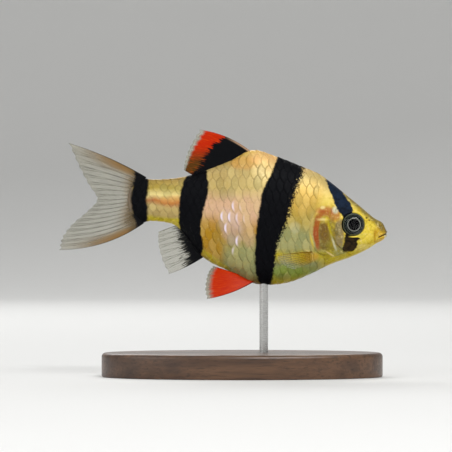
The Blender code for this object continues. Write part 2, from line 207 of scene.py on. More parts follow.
# The stand
BASE_LENGTH, BASE_WIDTH, BASE_HEIGHT = 52.0, 28.0, 4.5
BASE_EDGE = 0.8
BASE_SIDES = 192

# The edges of the dark bars, each as (above, behind)
EYE_BAR_FRONT = (
    (5.9, 7.1), (6.5, 6.0), (7.4, 5.5), (8.2, 5.4), (8.6, 4.9), (8.9, 5.6), (9.3, 6.2), (13.2, 6.3),
    (14.2, 6.4), (15.1, 6.7), (16.0, 7.4), (16.9, 8.0), (17.6, 8.1), (19.4, 7.6),
)
EYE_BAR_REAR = (
    (5.9, 7.9), (6.5, 8.2), (7.4, 8.0), (9.1, 7.8), (11.2, 7.3), (12.5, 8.2), (13.3, 8.7),
    (14.3, 9.4), (16.1, 10.1), (17.6, 10.6), (19.4, 11.2),
)
SHOULDER_BAR_FRONT = (
    (0.0, 21.4), (3.1, 20.8), (6.8, 20.3), (8.7, 19.7), (11.7, 18.4), (14.8, 17.7),
    (17.6, 16.7), (20.4, 15.6), (21.6, 15.3),
)
SHOULDER_BAR_REAR = (
    (0.0, 23.2), (1.5, 24.0), (7.4, 24.3), (11.1, 24.0), (14.8, 23.4), (17.9, 22.7),
    (20.9, 21.2), (23.5, 20.3),
)
ANAL_BAR_FRONT = (
    (3.7, 36.4), (4.3, 35.4), (6.1, 34.1), (7.4, 33.9), (10.2, 34.3), (13.5, 33.9),
    (17.6, 33.0), (20.9, 33.2),
)
ANAL_BAR_REAR = (
    (3.9, 36.7), (5.9, 37.1), (8.7, 38.0), (12.0, 38.4), (16.5, 38.2), (18.9, 37.6), (20.9, 36.6),
)
TAIL_BAR_FRONT = ((11.5, 44.3), (13.5, 44.1), (15.5, 44.3), (18.9, 43.9), (20.0, 44.1))
TAIL_BAR_REAR = ((11.5, 46.2), (12.4, 46.7), (15.7, 47.3), (17.6, 47.1), (20.0, 46.5))
DORSAL_BLACK_EDGE = (
    (20.5, 36.4), (21.3, 35.1), (22.8, 34.1), (25.0, 32.7), (25.9, 31.7), (27.0, 30.4), (27.8, 28.4),
)
ABOVE_SPAN, BEHIND_SPAN = 30.0, 64.0  # what 0 to 1 stands for in the shaders' curves

# Colours, as they show in the photograph's light
COLOURS = {
    "cream": (234, 214, 142), "gold": (208, 167, 72), "straw": (196, 172, 108),
    "khaki": (186, 162, 104), "wheat": (168, 146, 62), "rose": (212, 172, 138),
    "lilac": (218, 196, 204), "glint": (234, 220, 236), "amber": (172, 126, 10),
    "silver": (150, 151, 98), "pearl": (206, 206, 176), "sage": (124, 132, 88),
    "ochre": (180, 144, 12), "citron": (194, 174, 22), "leaf": (138, 158, 62),
    "bronze": (112, 84, 22), "fawn": (152, 122, 60), "olive": (98, 86, 28),
    "lemon": (232, 206, 70), "orange": (212, 146, 62), "peach": (236, 186, 122),
    "blush": (176, 102, 56), "mauve": (118, 104, 86), "red_gill": (160, 66, 18),
    "brown_gill": (108, 74, 28), "lip_brown": (184, 132, 12), "umber": (56, 42, 20),
    "grey_brown": (100, 86, 42), "black": (5, 6, 10), "blue_sheen": (24, 40, 62),
    "fin_red": (186, 36, 1), "fin_orange": (216, 78, 8), "fin_amber": (74, 52, 12),
    "fin_clear": (168, 166, 146), "fin_brown": (138, 106, 62), "fin_smoke": (78, 68, 48),
}
SHEEN, COAT, PEARL = 0.20, 0.05, 0.16  # how glossy and how metallic the skin and its scales are

# The studio's camera looks level along +Y at what the middle of the photograph shows
VIEW_CENTRE_X, VIEW_CENTRE_Z, VIEW_WIDTH = -2.99, 27.9, 83.62
SENSOR_WIDTH = 36.0
CAMERA_DISTANCE = 0.62  # in metres, like the places of the lights
LIT_PLACE = (0.0, 0.0, 0.028)


def colour(paint):
    """A shader's colour from a name in COLOURS, or from three linear values."""
    if isinstance(paint, tuple):
        return (*paint, 1.0)
    shares = [c / 255 for c in COLOURS[paint]]
    linear = [s / 12.92 if s <= 0.04045 else ((s + 0.055) / 1.055) ** 2.4 for s in shares]
    return (*linear, 1.0)


def curve(points, at, column=1):
    """The smooth curve through (position, value) points at positions, by cubic Hermite pieces."""
    xs = np.array([p[0] for p in points], float)
    ys = np.array([p[column] for p in points], float)
    count = np.arange(len(xs))
    before, after = np.maximum(count - 1, 0), np.minimum(count + 1, len(xs) - 1)
    slopes = (ys[after] - ys[before]) / (xs[after] - xs[before])
    at = np.clip(at, xs[0], xs[-1])
    i = np.clip(np.searchsorted(xs, at, side="right") - 1, 0, len(xs) - 2)
    span = xs[i + 1] - xs[i]
    t = (at - xs[i]) / span
    rest = 1 - t
    return (
        ys[i] * (1 + 2 * t) * rest**2
        + ys[i + 1] * (3 - 2 * t) * t**2
        + span * (slopes[i] * t * rest**2 - slopes[i + 1] * rest * t**2)
    )


def body_curve(points, behind):
    """One of the body's curves, through the roots of the distances, which rounds the snout."""
    rooted = [(math.sqrt(p[0]), p[1]) for p in points]
    return curve(rooted, np.sqrt(np.maximum(behind, 0.0)))


def along(points, share):
    """The places at shares, from 0 to 1, of a smooth line through evenly counted points."""
    last = len(points) - 1
    numbered = [(i / last, *p) for i, p in enumerate(points)]
    return np.stack([curve(numbered, share, column) for column in (1, 2, 3)], -1)


def smooth(low, high, value):
    """0 below low and 1 above high, with a smooth rise between."""
    t = np.clip((value - low) / (high - low), 0.0, 1.0)
    return t * t * (3 - 2 * t)


def hump(distance, width):
    return np.exp(-((distance / width) ** 2))


def placed(places):
    """(behind, above, out) places as millimetres of the row frame."""
    behind, above, out = np.moveaxis(places, -1, 0)
    return np.stack([SNOUT_X - behind, out, BELLY_Z + above], -1)


def unit(vectors):
    return vectors / np.maximum(np.linalg.norm(vectors, axis=-1, keepdims=True), 1e-12)


def surface(behind, turn):
    """Places on the body. The turn is 0 on the left flank's widest line, a quarter turn on the back, a
    half turn on the right flank and minus a quarter turn on the belly."""
    behind, turn = np.broadcast_arrays(np.asarray(behind, float), np.asarray(turn, float))
    rise, share = np.sin(turn), np.abs(np.cos(turn))
    level = body_curve(WIDEST_LEVEL, behind)
    upper = rise >= 0
    height = np.where(upper, body_curve(BACK, behind) - level, level - body_curve(BELLY, behind))
    narrowing = np.where(upper, curve(BACK_NARROWING, behind), curve(BELLY_NARROWING, behind))
    above = level + height * rise
    thinning = 1 - TAIL_THINNING * smooth(TAIL_THINS_FROM, TAIL_END, behind)
    out = body_curve(HALF_WIDTH, behind) * share**narrowing * np.sign(np.cos(turn)) * thinning
    bent = smooth(TAIL_ROUNDS_FROM, TAIL_END, behind) * ((above - TAIL_MIDDLE) / TAIL_HALF_HEIGHT) ** 2
    return placed(np.stack([behind - TAIL_ROUNDING * bent, above, out], -1))


def outward(behind, turn):
    """Unit vectors out of the body's surface."""
    step = 0.02
    rearward = surface(behind + step, turn) - surface(np.maximum(behind - step, 1e-4), turn)
    round_it = surface(behind, turn + step) - surface(behind, turn - step)
    return unit(np.cross(rearward, round_it))


def circle_through(*places):
    """The centre and the radius of the circle through three places."""
    places = np.array(places)
    x, y, rest = np.linalg.solve(np.column_stack([2 * places, np.ones(3)]), (places**2).sum(axis=1))
    return x, y, math.sqrt(rest + x * x + y * y)


def gill_distance(behind, above):
    """Roughly how far a place is outside the gill cover's edge, and less than 0 inside it."""
    length = (behind - GILL_CENTRE[0]) / GILL_HALF_LENGTH
    height = (above - GILL_CENTRE[1]) / GILL_HALF_HEIGHT
    return (np.hypot(length, height) - 1) * 3.0


def head_distance(behind, above):
    """Roughly how far a place is behind the head, where scales begin."""
    x, y, radius = circle_through(NAPE, SHOULDER, THROAT)
    neck = x + np.sqrt(np.maximum(radius**2 - (above - y) ** 2, 0.0))
    return np.minimum(behind - neck, gill_distance(behind, above))


def line_distance(behind, above, points):
    """How far places are from a bent line, seen from the side."""
    nearest = np.full(np.shape(behind), 1e9)
    for (ab, aa), (bb, ba) in zip(points, points[1:]):
        length = (bb - ab) ** 2 + (ba - aa) ** 2
        t = np.clip(((behind - ab) * (bb - ab) + (above - aa) * (ba - aa)) / length, 0, 1)
        nearest = np.minimum(nearest, np.hypot(behind - ab - t * (bb - ab), above - aa - t * (ba - aa)))
    return nearest


def head_relief(behind, above):
    """How far the head's skin stands out at its folds, lips, plates and nostrils, and in round its eyes."""
    eye = np.hypot(behind - EYE_CENTRE[0], above - EYE_CENTRE[1])
    height = 0.07 * hump(eye - 2.36, 0.14)
    height -= 1.25 * (1 - smooth(2.02, 2.2, eye))
    below_eye = smooth(0.4, -1.2, above - EYE_CENTRE[1] - 0.4 * (behind - EYE_CENTRE[0]))
    height -= 0.10 * hump(eye - 3.25, 0.16) * below_eye
    height += 0.05 * hump(eye - 2.9, 0.3) * below_eye
    # The mouth's slit with its lips, and the fold behind them
    slit = above - (MOUTH_LEVEL + MOUTH_SLOPE * behind)
    height -= 0.36 * hump(slit, 0.09) * (1 - smooth(1.35, 1.6, behind))
    height += 0.14 * hump(np.abs(slit) - 0.36, 0.2) * (1 - smooth(1.4, 2.0, behind))
    height -= 0.14 * hump(line_distance(behind, above, MAXILLA), 0.12)
    height += 0.08 * hump(line_distance(behind + 0.32, above, MAXILLA), 0.18)
    for centre, rise, width in SWELLINGS:
        height += rise * hump(np.hypot(behind - centre[0], above - centre[1]), width)
    for hole_behind, hole_above, radius in NOSTRILS:
        distance = np.hypot(behind - hole_behind, above - hole_above)
        height -= 0.32 * hump(distance, radius)
        height += 0.08 * hump(distance - radius * 1.6, 0.09)
    # The plates of the cheek and the gill cover
    fold = line_distance(behind, above, PREOPERCLE)
    height += 0.14 * hump(fold, 0.2)
    height -= 0.20 * hump(line_distance(behind - 0.36, above, PREOPERCLE), 0.16)
    gill = gill_distance(behind, above)
    behind_middle = smooth(-0.6, 0.6, behind - GILL_CENTRE[0] + 0.35 * (GILL_CENTRE[1] - above))
    height += 0.22 * smooth(0.02, -0.22, gill) * smooth(-2.4, -0.4, gill) * behind_middle
    height -= 0.16 * hump(gill + 0.85, 0.2) * behind_middle
    height += 0.09 * smooth(-1.2, -1.7, gill)
    # The folds of skin that spread below the gill cover
    chin = above - body_curve(BELLY, behind)
    reach = smooth(3.0, 4.5, behind) * (1 - smooth(10.5, 12.0, behind))
    height -= 0.10 * (hump(chin - 1.15, 0.1) + 0.8 * hump(chin - 0.6, 0.09)) * reach
    return height


def face_out(points, faces):
    """The faces of a closed mesh, turned outwards."""
    volume = 0.0
    for group in faces:
        for second in range(1, group.shape[1] - 1):
            a, b, c = (points[group[:, k]] for k in (0, second, second + 1))
            volume += np.einsum("ij,ij->", a, np.cross(b, c))
    return [group[:, ::-1] for group in faces] if volume < 0 else faces


def new_object(name, data):
    """An object in the scene."""
    made = bpy.data.objects.new(name, data)
    bpy.context.scene.collection.objects.link(made)
    return made


def new_piece(name, points, faces, material, slot, replaced=(), values=None, uv=None):
    """A shown piece: points in millimetres of the row frame, and arrays of faces with equal corners."""
    points = np.asarray(points, float)
    faces = face_out(points, faces)
    mesh = bpy.data.meshes.new(name)
    mesh.from_pydata((points * MM).tolist(), [], [face for group in faces for face in group.tolist()])
    for value_name, numbers in (values or {}).items():
        attribute = mesh.attributes.new(value_name, "FLOAT", "POINT")
        attribute.data.foreach_set("value", np.asarray(numbers, np.float32).ravel())
    if uv is not None:
        corners = np.zeros(len(mesh.loops), np.int32)
        mesh.loops.foreach_get("vertex_index", corners)
        layer = mesh.uv_layers.new(name="OFBake")
        layer.data.foreach_set("uv", uv[corners].astype(np.float32).ravel())
    mesh.shade_smooth()
    mesh.materials.append(material)
    piece = new_object(name, mesh)
    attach(piece, BODY)
    if replaced:
        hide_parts(*replaced)
    return piece


def grid_faces(rows, columns, wrap=False):
    """Quads over a grid whose points run along each row in turn."""
    row = np.arange(rows - 1)[:, None]
    column = np.arange(columns if wrap else columns - 1)[None, :]
    a, b = row * columns + column, row * columns + (column + 1) % columns
    return np.stack([a, b, b + columns, a + columns], -1).reshape(-1, 4)


def fan_faces(centre, ring):
    return np.array([(centre, a, b) for a, b in zip(ring, np.roll(ring, -1))])


def shell_faces(rows, columns):
    """Faces of a closed shell: a grid, the same grid under it, and the rim between them."""
    count = rows * columns
    top = grid_faces(rows, columns)
    grid = np.arange(count).reshape(rows, columns)
    rim = np.concatenate([grid[0], grid[1:, -1], grid[-1, -2::-1], grid[-2:0:-1, 0]])
    after = np.roll(rim, -1)
    sides = np.stack([after, rim, rim + count, after + count], -1)
    return np.concatenate([top, top[:, ::-1] + count, sides])


class Value:
    """A number that nodes work out, for sums written as with plain numbers."""

    def __init__(self, nodes, socket):
        self.nodes, self.socket = nodes, socket

    def math(self, operation, *others):
        return self.nodes.math(operation, self, *others)

    __add__ = partialmethod(math, "ADD")
    __sub__ = partialmethod(math, "SUBTRACT")
    __mul__ = partialmethod(math, "MULTIPLY")
    __truediv__ = partialmethod(math, "DIVIDE")
    __abs__ = partialmethod(math, "ABSOLUTE")
    most = partialmethod(math, "MAXIMUM")
    least = partialmethod(math, "MINIMUM")

    def __rsub__(self, other):
        return self.nodes.math("SUBTRACT", other, self)

    def smooth(self, low, high, low_value=0.0, high_value=1.0):
        """The low value at low and the high value at high, with a smooth step between."""
        inputs = (self, low, high, low_value, high_value)
        node = self.nodes.add("MapRange", *inputs, interpolation_type="SMOOTHSTEP")
        return Value(self.nodes, node.outputs[0])


class Nodes:
    """Adds nodes to a tree. An input is a number, a colour, a Value or the output of a node."""

    def __init__(self, tree):
        self.tree = tree

    def join(self, socket, value):
        if isinstance(value, Value):
            value = value.socket
        if isinstance(value, bpy.types.NodeSocket):
            self.tree.links.new(value, socket)
        else:
            socket.default_value = value

    def add(self, kind, *inputs, **settings):
        node = self.tree.nodes.new("ShaderNode" + kind)
        for name, value in settings.items():
            setattr(node, name, value)
        for socket, value in zip(node.inputs, inputs):
            self.join(socket, value)
        return node

    def dress(self, node, inputs):
        """Joins inputs to a node by their names."""
        for name, value in inputs.items():
            self.join(node.inputs[name], value)
        return node

    def math(self, operation, *inputs):
        return Value(self, self.add("Math", *inputs, operation=operation).outputs[0])

    def mix(self, share, first, second, blend="MIX"):
        """A mix of two colours, each a name in COLOURS, three linear values or the output of a node."""
        node = self.add("Mix", share, data_type="RGBA", blend_type=blend)
        for socket, paint in zip(node.inputs[6:8], (first, second)):
            self.join(socket, colour(paint) if isinstance(paint, (str, tuple)) else paint)
        return node.outputs[2]

    def noise(self, vector, scale, detail=2.0, roughness=0.5):
        inputs = {"Vector": vector, "Scale": scale, "Detail": detail, "Roughness": roughness}
        return Value(self, self.dress(self.add("TexNoise"), inputs).outputs[0])

    def ramp(self, value, stops):
        node = self.add("ValToRGB", value)
        elements = node.color_ramp.elements
        for position, paint in stops[1:-1]:
            elements.new(position)
        for element, (position, paint) in zip(elements, stops):
            element.position, element.color = position, colour(paint)
        return node.outputs[0]

    def line(self, above, points):
        """How far behind the snout a curve through (above, behind) points is at a height."""
        node = self.add("FloatCurve", 1.0, above / ABOVE_SPAN)
        mapping = node.mapping
        mapping.extend = "HORIZONTAL"
        marks = mapping.curves[0].points
        places = [(a / ABOVE_SPAN, b / BEHIND_SPAN) for a, b in points]
        for place in places[1:-1]:
            marks.new(*place)
        marks[0].location, marks[len(marks) - 1].location = places[0], places[-1]
        mapping.update()
        return Value(self, node.outputs[0]) * BEHIND_SPAN

    def value_of(self, name):
        """One of a mesh's own values."""
        return Value(self, self.add("Attribute", attribute_name=name).outputs["Fac"])

    def place(self):
        return self.add("TexCoord").outputs["Object"]

    def vector(self, x, y, z):
        return self.add("CombineXYZ", x, y, z).outputs[0]

    def scaled(self, vector, x, y, z):
        return self.add("VectorMath", vector, (x, y, z), operation="MULTIPLY").outputs[0]

    def bump(self, height, strength, distance):
        inputs = {"Height": height, "Strength": strength, "Distance": distance}
        return self.dress(self.add("Bump"), inputs).outputs[0]


def fish_coordinates(nodes):
    """Where a shaded point is, in metres of the frame, and its behind and above in millimetres."""
    place = nodes.place()
    x, y, z = (Value(nodes, socket) for socket in nodes.add("SeparateXYZ", place).outputs)
    return place, x * (-1 / MM) + SNOUT_X, z * (1 / MM) - BELLY_Z


def between(nodes, behind, above, edges, soft, front_wobble, rear_wobble):
    """1 where a place is between two edges, each a curve of its height with its own wobble."""
    front, rear = (nodes.line(above, edge) for edge in edges)
    inside = (behind + front_wobble - front).least(rear - (behind + rear_wobble))
    return inside.smooth(-soft, soft)


def oval(behind, above, centre, radii):
    """How far out a place is in an oval: 0 at its centre and 1 on its edge."""
    b, a = (behind - centre[0]) / radii[0], (above - centre[1]) / radii[1]
    return (b * b + a * a).math("SQRT")


# The ground colours from the belly up, each at its share of ABOVE_SPAN. The low greens are the fish's own
# silver with painted shade and a painted reflection of green surroundings; towards the back they are
# lighter, partly painted light
HEAD_COLOURS = ((0.13, "citron"), (0.22, "citron"), (0.30, "lemon"), (0.42, "lemon"), (0.62, "straw"))
SHOULDER_COLOURS = (
    (0.02, "citron"), (0.07, "leaf"), (0.13, "sage"), (0.18, "citron"), (0.23, "silver"),
    (0.31, "silver"), (0.38, "wheat"), (0.54, "gold"), (0.68, "straw"), (0.80, "peach"),
)
FLANK_COLOURS = (
    (0.03, "bronze"), (0.08, "sage"), (0.22, "silver"), (0.33, "amber"), (0.42, "rose"),
    (0.52, "rose"), (0.60, "straw"), (0.72, "khaki"), (0.80, "gold"), (0.88, "peach"),
)
STEM_COLOURS = (
    (0.38, "citron"), (0.41, "citron"), (0.43, "khaki"), (0.48, "khaki"), (0.515, "blush"),
    (0.55, "cream"), (0.59, "wheat"), (0.65, "fawn"),
)


class Patch(NamedTuple):
    """An oval patch of colour on the side, leaning rearwards by a share of the height over its centre."""

    centre: tuple
    radii: tuple
    paint: str
    strength: float
    lean: float = 0.0
    soft: float = 0.35
    rough: float = 0.7


PATCHES = (
    # On the snout and cheek
    Patch((1.0, 9.4), (1.2, 1.7), "lip_brown", 0.6, soft=0.6, rough=1.6),
    Patch((2.2, 9.2), (0.25, 1.3), "lip_brown", 0.6, rough=1.2),
    Patch((0.6, 10.8), (0.8, 0.9), "mauve", 0.45, soft=0.5, rough=1.4),
    Patch((0.2, 9.0), (0.3, 0.35), "pearl", 0.7, rough=0.2),
    Patch((0.15, 9.95), (0.3, 0.3), "grey_brown", 0.8, rough=0.2),
    Patch((4.4, 6.9), (2.0, 0.7), "cream", 0.35, -0.4, rough=1.4),
    Patch((5.3, 9.2), (1.0, 0.5), "leaf", 0.25),
    # Between the eye and the gill cover
    Patch((8.9, 9.3), (0.9, 3.0), "mauve", 0.85),
    Patch((8.8, 6.2), (1.3, 0.9), "sage", 0.6, -0.4),
    Patch((9.8, 12.9), (1.2, 1.2), "blush", 0.8),
    Patch((11.4, 13.6), (1.6, 0.9), "blush", 0.8),
    # On the gill cover
    Patch((11.0, 9.0), (1.7, 3.4), "olive", 0.8, soft=0.5, rough=1.5),
    Patch((11.7, 9.7), (1.0, 2.5), "brown_gill", 0.8, soft=0.5, rough=1.5),
    Patch((13.9, 9.6), (0.5, 3.6), "straw", 0.5),
    # Between the gill cover and the second bar
    Patch((15.6, 15.6), (2.0, 2.6), "gold", 0.6),
    Patch((17.8, 8.0), (2.2, 2.4), "silver", 0.7),
    Patch((17.0, 10.6), (0.9, 1.1), "pearl", 0.25),
    Patch((16.2, 5.0), (2.8, 1.0), "citron", 0.7, -0.5),
    Patch((14.0, 5.2), (1.4, 0.8), "orange", 0.45),
    # On the belly: its own silver with a painted reflection of green surroundings and painted shade
    Patch((18.2, 2.6), (3.0, 1.2), "leaf", 0.7),
    Patch((19.2, 1.6), (1.2, 0.6), "umber", 0.35),
    # Between the second and the third bar
    Patch((23.0, 23.5), (2.6, 1.1), "peach", 0.7),
    Patch((26.5, 22.5), (2.4, 1.2), "orange", 0.45),
    Patch((28.5, 14.9), (5.0, 1.4), "rose", 0.6),
    Patch((31.2, 18.4), (2.2, 2.4), "fawn", 0.4, soft=0.6),
    Patch((26.2, 10.6), (1.5, 3.4), "rose", 0.6, 0.3),
    # A painted highlight: a soft pearly lilac sheen on the middle of the flank
    Patch((28.8, 10.6), (1.8, 3.2), "lilac", 0.35, 0.2),
    Patch((32.2, 7.2), (1.7, 3.0), "amber", 0.8, 0.4),
    Patch((27.2, 4.4), (2.8, 2.6), "silver", 0.75, 0.4),
    Patch((28.4, 2.9), (1.8, 0.5), "umber", 0.3, 0.8),
    Patch((31.4, 4.2), (0.9, 2.6), "citron", 0.75, 1.22, soft=0.5),
    Patch((25.6, 2.0), (1.0, 1.4), "sage", 0.5),
    # On the stem of the tail
    Patch((39.6, 15.7), (2.6, 0.8), "orange", 0.45, -0.8),
    Patch((40.8, 13.2), (3.0, 0.8), "fawn", 0.3),
)
# Over the gill's red crescent: painted shade in the nostrils, and painted highlights as bright spots and
# streaks on the cheek and gill cover
SHADE_AND_HIGHLIGHT_PATCHES = (
    # Painted shade in the nostrils' pits
    Patch((3.25, 11.95), (0.13, 0.13), "umber", 0.8, soft=0.5, rough=0.2),
    Patch((3.75, 12.4), (0.17, 0.17), "umber", 0.8, soft=0.5, rough=0.2),
    # Painted highlights on the cheek and the gill cover
    Patch((9.55, 13.85), (0.55, 0.6), "pearl", 0.95, soft=0.6, rough=0.3),
    Patch((11.9, 14.3), (0.45, 0.3), "cream", 0.8, soft=0.5),
    Patch((11.9, 12.1), (0.9, 0.25), "cream", 0.65, 0.3, soft=0.8, rough=2.4),
    Patch((10.6, 10.4), (0.22, 1.6), "citron", 0.8, 0.25, soft=0.9, rough=2.0),
    Patch((9.8, 7.6), (0.2, 1.2), "pearl", 0.75, 0.35, soft=0.8, rough=1.6),
    Patch((10.5, 5.75), (0.3, 0.45), "cream", 0.9, 1.4, soft=0.6, rough=1.0),
    Patch((13.9, 8.0), (0.2, 1.3), "lemon", 0.85, 0.25, soft=0.8, rough=1.2),
    Patch((14.5, 6.2), (0.25, 0.35), "cream", 0.8, 1.6, soft=0.6, rough=1.0),
)


class Side:
    """Where a shaded point of the body is, and the noises that roughen its markings."""

    def __init__(self, nodes):
        self.nodes = nodes
        self.place, self.behind, self.above = fish_coordinates(nodes)
        self.broad = nodes.noise(self.place, 160.0) - 0.5
        self.fine = nodes.noise(self.place, 900.0, 3.0) - 0.5
        self.speck = nodes.noise(self.place, 3800.0, 2.0, 0.7) - 0.5
        self.mottle = nodes.noise(self.place, 1500.0, 4.0, 0.6) - 0.5

    def patched(self, ground, patches):
        for patch in patches:
            leaning = self.behind - (self.above - patch.centre[1]) * patch.lean
            out = oval(leaning, self.above, patch.centre, patch.radii) + self.fine * patch.rough
            share = out.smooth(1 + patch.soft, 1 - patch.soft, 0.0, patch.strength)
            ground = self.nodes.mix(share, ground, patch.paint)
        return ground

    def ground(self):
        """The colours between the dark bars."""
        mix, behind, above, broad = self.nodes.mix, self.behind, self.above, self.broad
        level = above / ABOVE_SPAN + broad * 0.07
        head, shoulder, flank, stem = (
            self.nodes.ramp(level, stops)
            for stops in (HEAD_COLOURS, SHOULDER_COLOURS, FLANK_COLOURS, STEM_COLOURS)
        )
        drift = behind + broad * 3.0
        ground = mix(drift.smooth(10.5, 13.5), head, shoulder)
        ground = mix(drift.smooth(20.0, 24.0), ground, flank)
        ground = mix(drift.smooth(35.0, 39.0), ground, stem)
        # The flank turns amber towards the anal bar
        low_flank = above.smooth(3.0, 6.0) * above.smooth(14.0, 11.0)
        amber = drift.smooth(27.0, 33.0) * low_flank * behind.smooth(36.0, 35.0)
        ground = self.patched(mix(amber * 0.8, ground, "amber"), PATCHES)
        # The gill cover's red crescent, behind its middle
        outside = oval(behind, above, (11.55, 9.9), (2.15, 4.2)) + self.fine * 0.34
        inside = oval(behind, above, (11.3, 9.6), (1.35, 3.6)) + self.fine * 0.34
        crescent = outside.smooth(1.08, 0.90) * inside.smooth(0.88, 1.16)
        crescent = crescent * ((above - 9.8) * 0.28 + behind).smooth(11.3, 12.3)
        ground = mix(crescent * broad.smooth(-0.2, 0.2, 0.65, 0.95), ground, "red_gill")
        return self.patched(ground, SHADE_AND_HIGHLIGHT_PATCHES)

    def mottled_with_slit_shade(self, ground):
        """The ground with its forehead ridge, its mottling and painted shade in the slit between its lips.
        """
        mix, behind, above, mottle, speck = self.nodes.mix, self.behind, self.above, self.mottle, self.speck
        ridge = above - (behind * 0.90 + 9.95) + self.fine * 0.8
        ridge = ridge.smooth(-1.3, -0.2) * behind.smooth(8.5, 7.0)
        ground = mix(ridge * 0.85, ground, "grey_brown")
        on_head = behind.smooth(13.0, 8.0, 0.25, 1.0)
        ground = mix(mottle.smooth(0.0, 0.16, 0.0, 0.65) * on_head, ground, "ochre")
        ground = mix(mottle.smooth(-0.04, -0.2, 0.0, 0.5) * on_head, ground, "cream")
        ground = mix(speck.smooth(0.13, 0.2, 0.0, 0.4), ground, "bronze")
        ground = mix(speck.smooth(-0.1, -0.24, 0.0, 0.4), ground, "cream")
        # Painted shade in the slit between the lips
        slit = abs(above - (behind * MOUTH_SLOPE + MOUTH_LEVEL)).smooth(0.14, 0.04)
        return mix(slit * behind.smooth(1.6, 1.35) * 0.85, ground, "umber")

    def bars(self):
        """How much of a place the four dark bars cover."""
        wobble = self.fine * 0.7 + self.speck * 0.5
        ragged = self.speck * self.above.smooth(6.0, 11.0, 0.6, 2.8) + wobble
        covers = [
            between(self.nodes, self.behind, self.above, edges, soft, front_wobble, wobble)
            for edges, soft, front_wobble in (
                ((EYE_BAR_FRONT, EYE_BAR_REAR), 0.14, wobble),
                ((SHOULDER_BAR_FRONT, SHOULDER_BAR_REAR), 0.2, ragged),
                ((ANAL_BAR_FRONT, ANAL_BAR_REAR), 0.2, wobble),
                ((TAIL_BAR_FRONT, TAIL_BAR_REAR), 0.3, wobble),
            )
        ]
        eye_bar = covers[0] * self.above.smooth(5.9, 6.4)
        return eye_bar.most(covers[1]).most(covers[2].most(covers[3]))

    def black(self):
        """The bars' colour: a painted bluish sheen on the forehead, and brown on the cheek."""
        behind, above, mottle = self.behind, self.above, self.mottle
        # Painted sheen: a bluish reflection painted over the black on the forehead
        blue_sheen = behind.smooth(12.5, 11.0) * above.smooth(11.5, 15.0, 0.0, 0.8)
        black = self.nodes.mix(blue_sheen * mottle.smooth(-0.2, 0.1, 0.3, 1.0), "black", "blue_sheen")
        brown = behind.smooth(10.0, 9.0) * above.smooth(9.5, 8.3)
        return self.nodes.mix(brown * mottle.smooth(-0.15, 0.1, 0.2, 0.85), black, "umber")


def make_markings():
    """The fish's colours at every place of its skin, as a node group that skin and scales share."""
    group = bpy.data.node_groups.new("markings", "ShaderNodeTree")
    for name, kind in (("Color", "NodeSocketColor"), ("Dark", "NodeSocketFloat")):
        group.interface.new_socket(name=name, in_out="OUTPUT", socket_type=kind)
    nodes = Nodes(group)
    side = Side(nodes)
    ground = side.mottled_with_slit_shade(side.ground())
    # A yellow line under the eye cuts into its bar
    line = abs(side.above - 8.93).smooth(0.18, 0.08)
    line = line * side.behind.smooth(7.4, 6.2) * side.behind.smooth(4.2, 4.8)
    ground = nodes.mix(line * 0.6, ground, "lemon")
    ground = nodes.mix(side.behind.smooth(46.5, 47.3), ground, "mauve")
    dark = side.bars() * (1.0 - line)
    painted = nodes.mix(dark, ground, side.black())
    nodes.dress(group.nodes.new("NodeGroupOutput"), {"Color": painted, "Dark": dark})
    return group


def new_material(name):
    material = bpy.data.materials.new(name)
    material.use_nodes = True
    return material, Nodes(material.node_tree)


def dressed(material, inputs):
    """A material, once its shader has these inputs."""
    tree = material.node_tree
    Nodes(tree).dress(tree.nodes["Principled BSDF"], inputs)
    return material


def marked(nodes, markings):
    node = nodes.add("Group")
    node.node_tree = markings
    return node.outputs["Color"], Value(nodes, node.outputs["Dark"])


def fish_gloss(dark, rough):
    """How skin and scales shine: the dark bars are duller."""
    return {
        "Roughness": dark * 0.2 + rough,
        "Specular IOR Level": dark * -0.12 + SHEEN,
        "Coat Weight": dark * -COAT + COAT,
        "Coat Roughness": 0.16,
        "Metallic": PEARL,
    }


def skin_material(markings):
    material, nodes = new_material("fish_skin")
    painted, dark = marked(nodes, markings)
    pores = nodes.noise(nodes.place(), 2600.0, 3.0)
    gloss = fish_gloss(dark, pores.smooth(0.3, 0.7, 0.30, 0.44))
    return dressed(material, {"Base Color": painted, "Normal": nodes.bump(pores, 0.3, 0.00012), **gloss})


def scale_material(markings):
    material, nodes = new_material("fish_scales")
    painted, dark = marked(nodes, markings)
    place, behind, above = fish_coordinates(nodes)
    tone, rim, across = (nodes.value_of(name) for name in ("tone", "rim", "across"))
    pale = 1.0 - dark
    # Each scale is a little lighter or darker than the next, with a fine shaded rim
    painted = nodes.mix(tone.smooth(0.5, 1.0, 0.0, 0.22) * pale, painted, "cream")
    painted = nodes.mix(tone.smooth(0.5, 0.0, 0.0, 0.22) * pale, painted, "sage")
    painted = nodes.mix(rim.smooth(0.88, 1.0, 0.0, 0.04) * pale, painted, "bronze")
    # Painted highlights: a few scales on the middle of the flank carry a painted lilac glint
    zone = oval(behind, above, (29.4, 10.8), (3.6, 6.0))
    shining = zone.smooth(1.0, 0.6) * tone.smooth(0.60, 0.68)
    streak = rim.smooth(0.72, 0.85) * rim.smooth(0.98, 0.87) * abs(across).smooth(0.5, 0.1)
    painted = nodes.mix(shining * streak * pale, painted, "glint")
    striae = (across * 55.0).math("SINE")
    rough = nodes.noise(place, 2200.0)
    bump = nodes.bump(striae * 0.15 + rough, 0.3, 0.00006)
    gloss = fish_gloss(dark, rough.smooth(0.3, 0.7, 0.30, 0.42))
    return dressed(material, {"Base Color": painted, "Normal": bump, **gloss})


